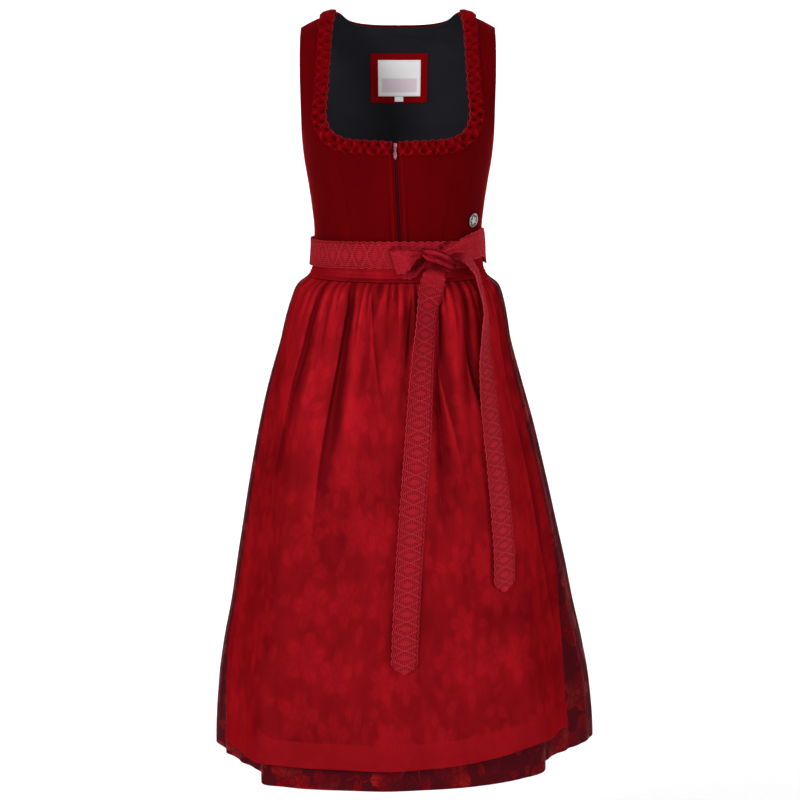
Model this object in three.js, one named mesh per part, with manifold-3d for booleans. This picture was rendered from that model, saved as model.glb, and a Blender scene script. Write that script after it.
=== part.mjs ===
// A dirndl, filled out as it is worn: velvet bodice, brocade skirt, gathered apron and a bow.
// Millimetres, +Z up, the front faces -Y. The origin lies midway between the shoulder tops.
import * as THREE from 'three';
import { mergeVertices } from 'three/addons/utils/BufferGeometryUtils.js';
import Module from 'manifold-3d';

// ---- Cloths and seams ------------------------------------------------------------------------
const seam = 0.3;
const ease = 0.8;
const loose = 1.3;
const velvet = 2.0;
const lining = 1.0;
const brocade = 1.5;
const satin = 1.2;
const ribbon = 1.5;
const bandCloth = 1.5;

// ---- Driving heights, below the shoulder tops -------------------------------------------------
const waistSeam = -376;
const hem = -1112;
const bandTop = -346;
const bandBottom = -388;
const zipTop = -188;
const zipBottom = -366;
const shapingSeamTop = -105;
const underarm = -192;

// ---- Driving widths ----------------------------------------------------------------------------
const shoulderHalf = 139.5;
const shoulderDrop = 31;
const shoulderCurve = 2.7;
const shoulderFade = 110;
const neckHalf = 87;
const ribbonWidth = 40;
const ruffleWidth = 20;
const rufflePitch = 12;
const apronHemBand = 36;

// ---- Bodice sections: half width, depth to front and back, and how far each armhole cuts in -----
const bodiceSections = [
  { height: 0, half: 139.5, front: 0, back: 0, frontCut: 0.75, backCut: 0.75 },
  { height: -6, half: 139.5, front: 22, back: 20, frontCut: 0.75, backCut: 0.75 },
  { height: -22, half: 139.5, front: 44, back: 39, frontCut: 0.8, backCut: 0.8 },
  { height: -50, half: 139.5, front: 61, back: 56, frontCut: 0.76, backCut: 0.78 },
  { height: -85, half: 139.5, front: 77, back: 70, frontCut: 0.66, backCut: 0.69 },
  { height: -120, half: 139.5, front: 92, back: 81, frontCut: 0.52, backCut: 0.56 },
  { height: -155, half: 139.5, front: 106, back: 88, frontCut: 0.33, backCut: 0.38 },
  { height: -180, half: 139.5, front: 114, back: 91, frontCut: 0.15, backCut: 0.17 },
  { height: underarm, half: 139.5, front: 117, back: 92, frontCut: 0, backCut: 0 },
  { height: -220, half: 136.5, front: 118, back: 91, frontCut: 0, backCut: 0 },
  { height: -250, half: 131.5, front: 115, back: 88, frontCut: 0, backCut: 0 },
  { height: -285, half: 126.5, front: 108, back: 83, frontCut: 0, backCut: 0 },
  { height: -325, half: 123, front: 100, back: 78, frontCut: 0, backCut: 0 },
  { height: waistSeam, half: 126.5, front: 99, back: 81, frontCut: 0, backCut: 0 },
  { height: -392, half: 136, front: 109, back: 90, frontCut: 0, backCut: 0 },
];

// ---- Neck edge of the front, seen from the front, from the shoulder to the zip ------------------
const neckEdge = [
  { x: 87, z: -8.5 },
  { x: 92, z: -28 },
  { x: 95, z: -71 },
  { x: 97.5, z: -114 },
  { x: 100, z: -141 },
  { x: 99.5, z: -158 },
  { x: 92.5, z: -174 },
  { x: 77, z: -183 },
  { x: 57, z: -186 },
  { x: 30, z: -187 },
];
const backNeckDrop = 27;

// ---- Skirt: half width down its length, and its hem in plan ------------------------------------
const skirtWidths = [
  { height: waistSeam, half: 126.5, middle: 0 },
  { height: -388, half: 132, middle: 0 },
  { height: -402, half: 149, middle: 0 },
  { height: -427, half: 159, middle: -1 },
  { height: -457, half: 166.5, middle: -2.5 },
  { height: -487, half: 172.5, middle: -3.5 },
  { height: -547, half: 189.5, middle: -4 },
  { height: -610, half: 206, middle: -2.5 },
  { height: -701, half: 226, middle: 0 },
  { height: -764, half: 238.5, middle: 2 },
  { height: -827, half: 251, middle: 4 },
  { height: -891, half: 263, middle: 5.5 },
  { height: -955, half: 277.5, middle: 7 },
  { height: -1020, half: 288.5, middle: 9 },
  { height: hem, half: 294, middle: 10 },
];
const hemPlan = [
  { bearing: -180, skirt: 205, apron: 205 },
  { bearing: -150, skirt: 219, apron: 219 },
  { bearing: -120, skirt: 259, apron: 259 },
  { bearing: -105, skirt: 281, apron: 281 },
  { bearing: -90, skirt: 294, apron: 294 },
  { bearing: -77, skirt: 279, apron: 280 },
  { bearing: -68, skirt: 267, apron: 272 },
  { bearing: -60, skirt: 257, apron: 271 },
  { bearing: -55, skirt: 256, apron: 276 },
  { bearing: -48.4, skirt: 277, apron: 280 },
  { bearing: -42, skirt: 262, apron: 265 },
  { bearing: -23, skirt: 226, apron: 229 },
  { bearing: -4, skirt: 212, apron: 215 },
  { bearing: 10, skirt: 209, apron: 212 },
  { bearing: 28, skirt: 219, apron: 222 },
  { bearing: 46, skirt: 238, apron: 241 },
  { bearing: 55.7, skirt: 249, apron: 252 },
  { bearing: 64, skirt: 236, apron: 248 },
  { bearing: 70, skirt: 239, apron: 248 },
  { bearing: 79, skirt: 260, apron: 264 },
  { bearing: 90, skirt: 294, apron: 294 },
  { bearing: 105, skirt: 281, apron: 281 },
  { bearing: 120, skirt: 259, apron: 259 },
  { bearing: 150, skirt: 219, apron: 219 },
  { bearing: 180, skirt: 205, apron: 205 },
];
const pleatCount = 28;
const pleatFrom = 58;
const pleatDepthTop = 3.2;
const pleatDepthHem = 9;
const underApron = { depth: 11, from: 380, full: 425, fade: 640, to: 860, bearing: 76 };

// ---- Apron: its side edges, its hem and the folds that hang from its band -----------------------
const apronEdges = [
  { height: bandBottom, left: -75, right: 75 },
  { height: -466, left: -77, right: 78 },
  { height: -600, left: -77, right: 79.5 },
  { height: -730, left: -77, right: 81.5 },
  { height: -830, left: -78, right: 81 },
  { height: -922, left: -79, right: 77 },
  { height: -996, left: -76, right: 74 },
  { height: -1080, left: -73, right: 73 },
];
const apronHem = [
  { bearing: -75, height: -1084 },
  { bearing: -45, height: -1076 },
  { bearing: 0, height: -1077 },
  { bearing: 30, height: -1070 },
  { bearing: 52, height: -1060 },
  { bearing: 75, height: -1064 },
];
const gatherCount = 24;
const gatherDepth = 4;
const drapeFolds = [
  { top: -60, foot: -62, from: -392, to: -600, width: 5, rise: 6 },
  { top: -31, foot: -38, from: -392, to: -700, width: 5, rise: -9 },
  { top: -21, foot: -27, from: -400, to: -820, width: 6, rise: 5 },
  { top: -10, foot: -14, from: -392, to: -540, width: 3.5, rise: 4 },
  { top: 20, foot: 14, from: -410, to: -800, width: 6, rise: 6 },
  { top: 27, foot: 22, from: -392, to: -800, width: 4, rise: -10 },
  { top: 35, foot: 33, from: -392, to: -760, width: 5, rise: 6 },
  { top: 43, foot: 43, from: -392, to: -620, width: 4, rise: -7 },
  { top: 69, foot: 71, from: -392, to: -700, width: 4, rise: -6 },
  { top: 60, foot: 63, from: -420, to: -960, width: 6, rise: 6 },
];

// ---- Sash stretch over the right hip: its edges by the angle from the front centre ---------------
const climbRows = [
  { angle: 36, top: -335, bottom: -352 },
  { angle: 46, top: -325, bottom: -361 },
  { angle: 62, top: -318, bottom: -360 },
  { angle: 76, top: -316, bottom: -360 },
  { angle: 90, top: -330, bottom: -370 },
];

// ---- Bow: rows along each ribbon, as it is seen from the front -----------------------------------
// turn is 0 where the ribbon is seen edge-on and 90 where its face is seen, rise tips its far edge up,
// lift is how far it stays clear of the cloth behind it, and half is half its width.
const leftTail = [
  { x: 56, z: -363, turn: 46, rise: 0, lift: 7, half: 13 },
  { x: 47.5, z: -385, turn: 48, rise: 0, lift: 6, half: 17 },
  { x: 40, z: -417, turn: 40, rise: 0, lift: 7, half: 19.5 },
  { x: 37, z: -450, turn: 40, rise: 0, lift: 7, half: 20 },
  { x: 32.5, z: -522, turn: 58, rise: 0, lift: 5, half: 20 },
  { x: 28, z: -610, turn: 74, rise: 0, lift: 4, half: 20 },
  { x: 21.5, z: -697, turn: 76, rise: 0, lift: 4, half: 20 },
  { x: 15.5, z: -785, turn: 76, rise: 0, lift: 4, half: 20 },
  { x: 11, z: -873, turn: 76, rise: 0, lift: 4, half: 20 },
  { x: 9, z: -921, turn: 76, rise: 0, lift: 4, half: 20 },
];
const rightTail = [
  { x: 125.4, z: -431.3, turn: 10, rise: 0, lift: 3, half: 20 },
  { x: 124.5, z: -476, turn: 21, rise: 0, lift: 3, half: 20 },
  { x: 125.5, z: -511, turn: 29, rise: 0, lift: 4, half: 20 },
  { x: 130, z: -557, turn: 38, rise: 0, lift: 4, half: 20 },
  { x: 137, z: -618, turn: 42, rise: 0, lift: 4, half: 20 },
  { x: 143.5, z: -670, turn: 46, rise: 0, lift: 4, half: 20 },
  { x: 149, z: -723, turn: 50, rise: 0, lift: 4, half: 20 },
  { x: 153, z: -776, turn: 51, rise: 0, lift: 4, half: 20 },
  { x: 153.5, z: -815, turn: 52, rise: 0, lift: 4, half: 20 },
];
const bandRows = [
  { x: 77.6, z: -350, turn: 8, rise: 0.35, lift: 3, half: 8 },
  { x: 90, z: -351, turn: 8, rise: 0.35, lift: 5, half: 12 },
  { x: 99, z: -356, turn: 8, rise: 0.3, lift: 6, half: 16 },
  { x: 106, z: -365, turn: 8, rise: 0.2, lift: 6, half: 19 },
  { x: 113.5, z: -377, turn: 8, rise: 0.12, lift: 6, half: 20 },
  { x: 118, z: -395, turn: 8, rise: 0.06, lift: 7.5, half: 20 },
  { x: 122, z: -412, turn: 8, rise: 0, lift: 6, half: 20 },
  { x: 125.5, z: -430, turn: 10, rise: 0, lift: 3, half: 20 },
];
const tailPoint = 15;

// ---- Zip, label and badge ------------------------------------------------------------------------
const slotHalfAtSlider = 4.2;
const slotHalf = 2.2;
const sliderEnd = -203;
const tapeHalf = 11;
const coilHalf = 1.3;
const coilRise = 1.6;
const slider = { width: 5.8, height: 10.5, depth: 3.2, top: -189.5 };
const pin = { radius: 0.55, out: 2.3, below: 2.6, gap: 1.3, post: 0.7 };
const pull = { length: 15, width: 5.2, thick: 1.4, eyeInner: 1, eyeOuter: 1.6, eyeWidth: 2 };
const patch = { left: -41, right: 44, top: -66, bottom: -139, thick: 1.5 };
const label = { left: -30, right: 34, top: -75, bottom: -129, thick: 0.6 };
const sizeTab = { left: -5, right: 8, top: -129.6, bottom: -137, thick: 0.6 };
const badge = { x: 107, z: -303, radius: 10.5, thick: 1.6, rim: 0.9 };

// ---- Small mathematics ---------------------------------------------------------------------------
const radians = THREE.MathUtils.degToRad;
const degrees = THREE.MathUtils.radToDeg;
const lerp = THREE.MathUtils.lerp;
const clamp = THREE.MathUtils.clamp;

function smooth(value, start, end) {
  const t = clamp((value - start) / (end - start), 0, 1);
  return t * t * (3 - 2 * t);
}

// A smooth curve through a table's rows, read at `at` in the column `key`.
function read(table, key, at, column) {
  const up = table[table.length - 1][key] > table[0][key];
  const rows = up ? table : [...table].reverse();
  const last = rows.length - 1;
  if (at <= rows[0][key]) return rows[0][column];
  if (at >= rows[last][key]) return rows[last][column];
  let i = 0;
  while (rows[i + 1][key] < at) i += 1;
  const span = rows[i + 1][key] - rows[i][key];
  const slope = (k) => {
    if (k === 0 || k === last) return 0;
    return (rows[k + 1][column] - rows[k - 1][column]) / (rows[k + 1][key] - rows[k - 1][key]);
  };
  const t = (at - rows[i][key]) / span;
  const t2 = t * t;
  const t3 = t2 * t;
  return (2 * t3 - 3 * t2 + 1) * rows[i][column] + (t3 - 2 * t2 + t) * slope(i) * span
    + (3 * t2 - 2 * t3) * rows[i + 1][column] + (t3 - t2) * slope(i + 1) * span;
}

// A smooth curve through a table, read by row number, so that steep stretches stay round.
function readRow(table, row, column) {
  const last = table.length - 1;
  const i = clamp(Math.floor(row), 0, last - 1);
  const t = row - i;
  const value = (k) => table[clamp(k, 0, last)][column];
  const before = i === 0 ? value(1) - value(0) : (value(i + 1) - value(i - 1)) / 2;
  const after = i === last - 1 ? value(last) - value(last - 1) : (value(i + 2) - value(i)) / 2;
  const t2 = t * t;
  const t3 = t2 * t;
  return (2 * t3 - 3 * t2 + 1) * value(i) + (t3 - 2 * t2 + t) * before
    + (3 * t2 - 2 * t3) * value(i + 1) + (t3 - t2) * after;
}

function solve(low, high, test) {
  let a = low;
  let b = high;
  for (let step = 0; step < 40; step += 1) {
    const middle = (a + b) / 2;
    if (test(middle)) a = middle;
    else b = middle;
  }
  return (a + b) / 2;
}

// ---- Surfaces: each takes two parameters and a distance moved out -------------------------------
function offsetSurface(point, facing) {
  return (u, v, out = 0) => {
    const p = point(u, v);
    if (out === 0) return p;
    const du = point(u + 0.05, v).sub(point(u - 0.05, v));
    const dv = point(u, v + 0.004).sub(point(u, v - 0.004));
    const normal = du.cross(dv).normalize();
    return p.addScaledVector(normal, out * facing);
  };
}

// A bodice section between two rows of its table. The shoulder line is level across its top.
function section(row, column) {
  const value = readRow(bodiceSections, Math.abs(row), column);
  const near = Math.abs(row);
  if (near >= 1 || column === 'front' || column === 'back') return value;
  const first = bodiceSections[0][column];
  const slope = bodiceSections[1][column] - first;
  return value - slope * near * (1 - near) * (1 - near);
}

// The bodice: an angle from the front centre, and a row of the section table.
function bodicePoint(angle, row) {
  const front = Math.abs(angle) <= 90;
  const depth = section(row, front ? 'front' : 'back') * Math.sign(row || 1);
  const cut = Math.max(0, section(row, front ? 'frontCut' : 'backCut'));
  const half = section(row, 'half') / Math.sqrt(1 - cut * cut);
  const x = half * Math.sin(radians(angle));
  const height = section(row, 'height');
  const slope = shoulderDrop * Math.pow(Math.abs(x) / shoulderHalf, shoulderCurve);
  const fade = smooth(height, -shoulderFade, 0);
  return new THREE.Vector3(x, -depth * Math.cos(radians(angle)), height - slope * fade);
}
const bodiceAt = offsetSurface(bodicePoint, -1);

function rowAtHeight(height) {
  return solve(0, bodiceSections.length - 1, (row) => section(row, 'height') > height);
}

// The angle and row of a point given as it is seen from the front or from behind.
function bodicePlace(x, z, behind = false) {
  const angleAt = (row) => {
    const cut = Math.max(0, section(row, behind ? 'backCut' : 'frontCut'));
    const half = section(row, 'half') / Math.sqrt(1 - cut * cut);
    return degrees(Math.asin(clamp(x / half, -1, 1)));
  };
  const turn = (row) => (behind ? 180 - angleAt(row) : angleAt(row));
  const row = solve(0, bodiceSections.length - 1, (r) => bodicePoint(turn(r), r).z > z);
  return { angle: turn(row), row };
}

function armholeAngle(row, column) {
  return degrees(Math.acos(clamp(section(row, column), 0, 1)));
}

// The skirt and the apron: a bearing from the front centre and a height.
function spread(height) {
  const waist = skirtWidths[0].half;
  const full = skirtWidths[skirtWidths.length - 1].half;
  return (read(skirtWidths, 'height', height, 'half') - waist) / (full - waist);
}

function waistOval(bearing) {
  const last = bodiceSections.find((row) => row.height === waistSeam);
  const depth = Math.abs(bearing) < 90 ? last.front : last.back;
  return 1 / Math.hypot(Math.sin(radians(bearing)) / last.half, Math.cos(radians(bearing)) / depth);
}

function drapeRise(bearing, height) {
  let rise = 0;
  for (const fold of drapeFolds) {
    const along = (fold.from - height) / (fold.from - fold.to);
    const middle = lerp(fold.top, fold.foot, clamp(along, 0, 1));
    const strength = smooth(along, -0.02, 0.12) * (1 - smooth(along, 0.45, 1));
    const across = (bearing - middle) / fold.width;
    rise += fold.rise * strength * Math.exp(-across * across);
  }
  return rise;
}

function skirtReach(bearing, height, column) {
  const full = spread(height);
  return waistOval(bearing) * (1 - full) + read(hemPlan, 'bearing', bearing, column) * full;
}

function pleatAt(bearing, height) {
  const past = Math.abs(bearing) - pleatFrom;
  if (past <= 0) return 0;
  const pitch = (360 - 2 * pleatFrom) / pleatCount;
  const wave = 0.5 - 0.5 * Math.cos((2 * Math.PI * past) / pitch);
  return lerp(pleatDepthTop, pleatDepthHem, Math.sqrt(spread(height))) * wave * smooth(past, 0, 8);
}

function wrap(bearing) {
  return bearing > 180 ? bearing - 360 : bearing;
}

function place(bearing, height, reach) {
  const middle = read(skirtWidths, 'height', height, 'middle');
  const angle = radians(bearing);
  return new THREE.Vector3(middle + reach * Math.sin(angle), -reach * Math.cos(angle), height);
}

// Under the apron's folds the skirt lies a little deeper.
function tuckedUnder(bearing, height) {
  const begun = smooth(-height, underApron.from, underApron.full);
  const ended = smooth(-height, underApron.to, underApron.fade);
  return underApron.depth * begun * ended * smooth(underApron.bearing - Math.abs(bearing), 0, 14);
}

function skirtPoint(bearing, height) {
  const b = wrap(bearing);
  const reach = skirtReach(b, height, 'skirt') - pleatAt(b, height) - tuckedUnder(b, height);
  return place(bearing, height, reach);
}
const skirtAt = offsetSurface(skirtPoint, 1);

function apronSpread(bearing, height) {
  const left = read(apronEdges, 'height', height, 'left');
  const right = read(apronEdges, 'height', height, 'right');
  return (bearing - left) / (right - left);
}

function apronPoint(bearing, height) {
  const gathered = smooth(height, -560, -410) * smooth(-height, 386, 396);
  const wave = 0.5 - 0.5 * Math.cos(2 * Math.PI * gatherCount * apronSpread(bearing, height));
  const clear = lerp(1.2, 4, smooth(-height, 388, 408));
  const reach = skirtReach(bearing, height, 'apron') + drapeRise(bearing, height)
    + clear + gatherDepth * gathered * wave;
  return place(bearing, height, reach);
}
const apronAt = offsetSurface(apronPoint, 1);

// The front of the whole dress at a place seen from the front, in bearings and heights.
function frontBearing(x, height) {
  return solve(-85, 85, (bearing) => apronPoint(bearing, height).x < x);
}

// ---- Solids ---------------------------------------------------------------------------------------
function solid(triangles, points) {
  const flat = new Float32Array(points.length * 3);
  points.forEach((p, i) => p.toArray(flat, i * 3));
  let volume = 0;
  for (const [a, b, c] of triangles) {
    volume += points[a].dot(points[b].clone().cross(points[c]));
  }
  const index = triangles.flatMap(([a, b, c]) => (volume > 0 ? [a, b, c] : [a, c, b]));
  const geometry = new THREE.BufferGeometry();
  geometry.setAttribute('position', new THREE.BufferAttribute(flat, 3));
  geometry.setIndex(index);
  geometry.computeVertexNormals();
  return geometry;
}

// A cloth wall between two grids of points that have the same rows and columns.
function wall(outer, inner) {
  const rows = outer.length;
  const columns = outer[0].length;
  const points = [...outer.flat(), ...inner.flat()];
  const back = rows * columns;
  const triangles = [];
  const quad = (a, b, c, d) => triangles.push([a, b, c], [a, c, d]);
  const at = (i, j) => i * columns + j;
  for (let i = 0; i < rows - 1; i += 1) {
    for (let j = 0; j < columns - 1; j += 1) {
      quad(at(i, j), at(i, j + 1), at(i + 1, j + 1), at(i + 1, j));
      quad(back + at(i, j), back + at(i + 1, j), back + at(i + 1, j + 1), back + at(i, j + 1));
    }
  }
  for (let j = 0; j < columns - 1; j += 1) {
    quad(at(0, j), back + at(0, j), back + at(0, j + 1), at(0, j + 1));
    quad(at(rows - 1, j), at(rows - 1, j + 1), back + at(rows - 1, j + 1), back + at(rows - 1, j));
  }
  const last = columns - 1;
  for (let i = 0; i < rows - 1; i += 1) {
    quad(at(i, 0), at(i + 1, 0), back + at(i + 1, 0), back + at(i, 0));
    quad(at(i, last), back + at(i, last), back + at(i + 1, last), at(i + 1, last));
  }
  return solid(triangles, points);
}

// A wall that follows a surface over a grid of parameters, with an optional relief outside.
function layer(surface, grid, low, high, relief = () => 0) {
  const outer = grid.map((row) => row.map(({ u, v }) => surface(u, v, high + relief(u, v))));
  const inner = grid.map((row) => row.map(({ u, v }) => surface(u, v, low)));
  return wall(outer, inner);
}

// A ring of sections joined into a closed solid, capped at both ends.
function loft(sections) {
  const around = sections[0].length;
  const points = sections.flat();
  const triangles = [];
  for (let i = 0; i < sections.length - 1; i += 1) {
    for (let j = 0; j < around; j += 1) {
      const k = (j + 1) % around;
      const a = i * around + j;
      const b = i * around + k;
      triangles.push([a, b, b + around], [a, b + around, a + around]);
    }
  }
  const end = (sections.length - 1) * around;
  for (let j = 1; j < around - 1; j += 1) {
    triangles.push([0, j + 1, j], [end, end + j, end + j + 1]);
  }
  return solid(triangles, points);
}

// A ribbon through rows that give its middle, the way across, and its half width.
function ribbonStrip(rows, thickness, across = [-1, -0.5, 0, 0.5, 1]) {
  const middle = rows.map((row) => across.map((s) => (
    row.centre.clone().addScaledVector(row.across, s * row.half))));
  const normal = rows.map((row, i) => {
    const ahead = rows[Math.min(i + 1, rows.length - 1)].centre;
    const behind = rows[Math.max(i - 1, 0)].centre;
    return ahead.clone().sub(behind).cross(row.across).normalize();
  });
  const side = (way) => middle.map((line, i) => line.map((p) => (
    p.clone().addScaledVector(normal[i], (way * thickness) / 2))));
  return wall(side(1), side(-1));
}

// Two solids joined into one.
const wasm = await Module();
wasm.setup();

function manifoldOf(geometry) {
  const bare = geometry.clone();
  bare.deleteAttribute('normal');
  bare.deleteAttribute('uv');
  const merged = mergeVertices(bare, 1e-4);
  return new wasm.Manifold(new wasm.Mesh({
    numProp: 3,
    vertProperties: new Float32Array(merged.attributes.position.array),
    triVerts: new Uint32Array(merged.index.array),
  }));
}

function joined(first, second) {
  const mesh = manifoldOf(first).add(manifoldOf(second)).getMesh();
  const geometry = new THREE.BufferGeometry();
  geometry.setAttribute('position', new THREE.BufferAttribute(mesh.vertProperties, 3));
  geometry.setIndex(new THREE.BufferAttribute(mesh.triVerts, 1));
  geometry.computeVertexNormals();
  return geometry;
}

// ---- Finishes -------------------------------------------------------------------------------------
const finish = (color, roughness, metalness = 0) => (
  new THREE.MeshStandardMaterial({ color, roughness, metalness }));
const finishes = {
  velvet: finish(0x690005, 0.9),
  lining: finish(0x1c1c20, 0.8),
  brocade: finish(0x5e1012, 0.6),
  satin: finish(0x961219, 0.45),
  jacquard: finish(0x9c1a27, 0.7),
  label: finish(0xeeeaea, 0.8),
  tape: finish(0x3a0a14, 0.8),
  lacquer: finish(0xa8525c, 0.35, 0.3),
  pewter: finish(0xa9a9a6, 0.35, 0.9),
};

const dirndl = new THREE.Group();

function piece(name, geometry, material) {
  const mesh = new THREE.Mesh(geometry, material);
  mesh.name = name;
  dirndl.add(mesh);
  return mesh;
}

// ---- Bodice ---------------------------------------------------------------------------------------
const shoulderRow = 0.012;

function zipLine(z) {
  return lerp(-4, 2, clamp((zipTop - z) / (zipTop + 323), 0, 1));
}

function slotEdge(z) {
  return z > sliderEnd ? slotHalfAtSlider : lerp(slotHalfAtSlider, slotHalf, smooth(-z, -sliderEnd, 214));
}

function shapingAngle(row) {
  const height = section(row, 'height');
  const top = armholeAngle(rowAtHeight(shapingSeamTop), 'frontCut');
  return lerp(50, top, clamp((height - waistSeam) / (shapingSeamTop - waistSeam), 0, 1));
}

// Rows of a front: the height at the zip or the neck point, and the height at the outer edge.
const frontRows = [
  { zip: waistSeam, outer: waistSeam },
  { zip: -350, outer: -350 },
  { zip: -320, outer: -320 },
  { zip: -285, outer: -285 },
  { zip: -250, outer: -255 },
  { zip: -222, outer: -238 },
  { zip: -203, outer: -222 },
  { zip: zipTop, outer: -207 },
  { neck: 9, outer: -198 },
  { neck: 8, outer: -188 },
  { neck: 7, outer: -170 },
  { neck: 6, outer: -148 },
  { neck: 5, outer: -124 },
  { neck: 4, outer: shapingSeamTop },
  { neck: 3, outer: -85 },
  { neck: 2, outer: -50 },
  { neck: 1, outer: -22 },
  { neck: 0.35, outer: -6 },
  { neck: 0, outer: 0 },
];

function neckPlace(side, index) {
  const x = readRow(neckEdge, index, 'x');
  const z = readRow(neckEdge, index, 'z');
  const spot = bodicePlace(x, z);
  return { angle: side * spot.angle, row: spot.row };
}

function frontGrid(side) {
  const columns = 7;
  return frontRows.map((line) => {
    let inner;
    if (line.zip !== undefined) {
      inner = bodicePlace(zipLine(line.zip) + side * slotEdge(line.zip), line.zip);
    } else {
      inner = neckPlace(side, line.neck);
    }
    if (line.neck === 0) inner.row = shoulderRow;
    const outerRow = Math.max(rowAtHeight(line.outer), shoulderRow);
    const onSeam = line.outer <= shapingSeamTop;
    const edge = onSeam ? shapingAngle(outerRow) : armholeAngle(outerRow, 'frontCut');
    return Array.from({ length: columns + 1 }, (_, j) => {
      const s = j / columns;
      return { u: lerp(inner.angle, side * edge, s), v: lerp(inner.row, outerRow, s) };
    });
  });
}

function sideGrid(side) {
  const columns = 6;
  const shares = [0, 0.07, 0.14, 0.22, 0.35, 0.55, 0.78, 1];
  const start = rowAtHeight(shapingSeamTop);
  const end = rowAtHeight(underarm);
  const gapAngle = 0.25;
  return shares.map((share) => Array.from({ length: columns + 1 }, (_, j) => {
    const s = j / columns;
    const topAngle = lerp(armholeAngle(start, 'frontCut') + gapAngle, 90 - 0.08, s);
    const topRow = solve(start, end, (row) => armholeAngle(row, 'frontCut') < topAngle);
    const row = rowAtHeight(lerp(waistSeam, section(topRow, 'height'), share));
    const angle = lerp(shapingAngle(row) + gapAngle, 90 - 0.08, s);
    return { u: side * angle, v: row };
  }));
}

function backGrid(limit, top, bottom, drop, columns) {
  const shoulderTurn = armholeAngle(0, 'backCut');
  const half = shoulderHalf / Math.sqrt(1 - bodiceSections[0].backCut ** 2);
  const neckShare = degrees(Math.asin(neckHalf / half)) / shoulderTurn;
  const rows = [];
  const stops = bodiceSections.filter((row) => row.height >= bottom).map((row) => row.height);
  if (stops[stops.length - 1] > bottom) stops.push(bottom);
  for (const stop of stops.reverse()) {
    const edgeRow = Math.max(rowAtHeight(stop), shoulderRow);
    rows.push(Array.from({ length: columns + 1 }, (_, j) => {
      const s = (2 * j) / columns - 1;
      const neck = Math.abs(s) < neckShare ? 1 - Math.pow(Math.abs(s) / neckShare, 3) : 0;
      const rise = (stop - bottom) / -bottom;
      const height = stop + (top - (drop * neck)) * Math.max(rise, 0);
      const row = Math.max(rowAtHeight(Math.min(height, 0)), shoulderRow);
      const turn = Math.min(armholeAngle(edgeRow, 'backCut'), 90 - 0.08);
      return { u: 180 + s * limit * turn, v: row };
    }));
  }
  return rows;
}

for (const [name, side] of [['left', -1], ['right', 1]]) {
  const grid = frontGrid(side);
  piece(`bodice_front_${name}`, layer(bodiceAt, grid, -velvet, 0), finishes.velvet);
  piece(`bodice_side_${name}`, layer(bodiceAt, sideGrid(side), -velvet, 0), finishes.velvet);
}
const backPanel = backGrid(1, 0, waistSeam, backNeckDrop, 18);
piece('bodice_back', layer(bodiceAt, backPanel, -velvet, 0), finishes.velvet);

const liningOut = -(velvet + loose + seam);
piece('lining_back', layer(bodiceAt, backGrid(0.88, -6, -300, backNeckDrop, 12),
  liningOut - lining, liningOut), finishes.lining);

// ---- Label ----------------------------------------------------------------------------------------
function backPatch(size, out, steps) {
  const grid = Array.from({ length: steps + 1 }, (_, i) => Array.from({ length: steps + 1 }, (_, j) => {
    const x = lerp(size.left, size.right, j / steps);
    const z = lerp(size.bottom, size.top, i / steps);
    const spot = bodicePlace(x, z, true);
    return { u: spot.angle, v: spot.row };
  }));
  return layer(bodiceAt, grid, out - size.thick, out);
}
const patchOut = liningOut - lining - ease;
const labelOut = patchOut - patch.thick - ease / 2;
piece('label_patch', backPatch(patch, patchOut, 6), finishes.velvet);
piece('label', backPatch(label, labelOut, 5), finishes.label);
piece('size_tab', backPatch(sizeTab, labelOut, 1), finishes.label);

// ---- Neck ruffle ----------------------------------------------------------------------------------
function neckLine(side) {
  const stops = [];
  const end = neckEdge.length - 1;
  const zipX = zipLine(zipTop) + side * slotHalfAtSlider;
  for (let index = 0.04; index < end; index += 0.04) {
    stops.push(new THREE.Vector2(side * readRow(neckEdge, index, 'x'), readRow(neckEdge, index, 'z')));
  }
  const corner = new THREE.Vector2(side * neckEdge[end].x, neckEdge[end].z);
  for (const share of [0.25, 0.5, 0.75, 1]) {
    stops.push(corner.clone().lerp(new THREE.Vector2(zipX, zipTop), share));
  }
  return stops;
}

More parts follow.
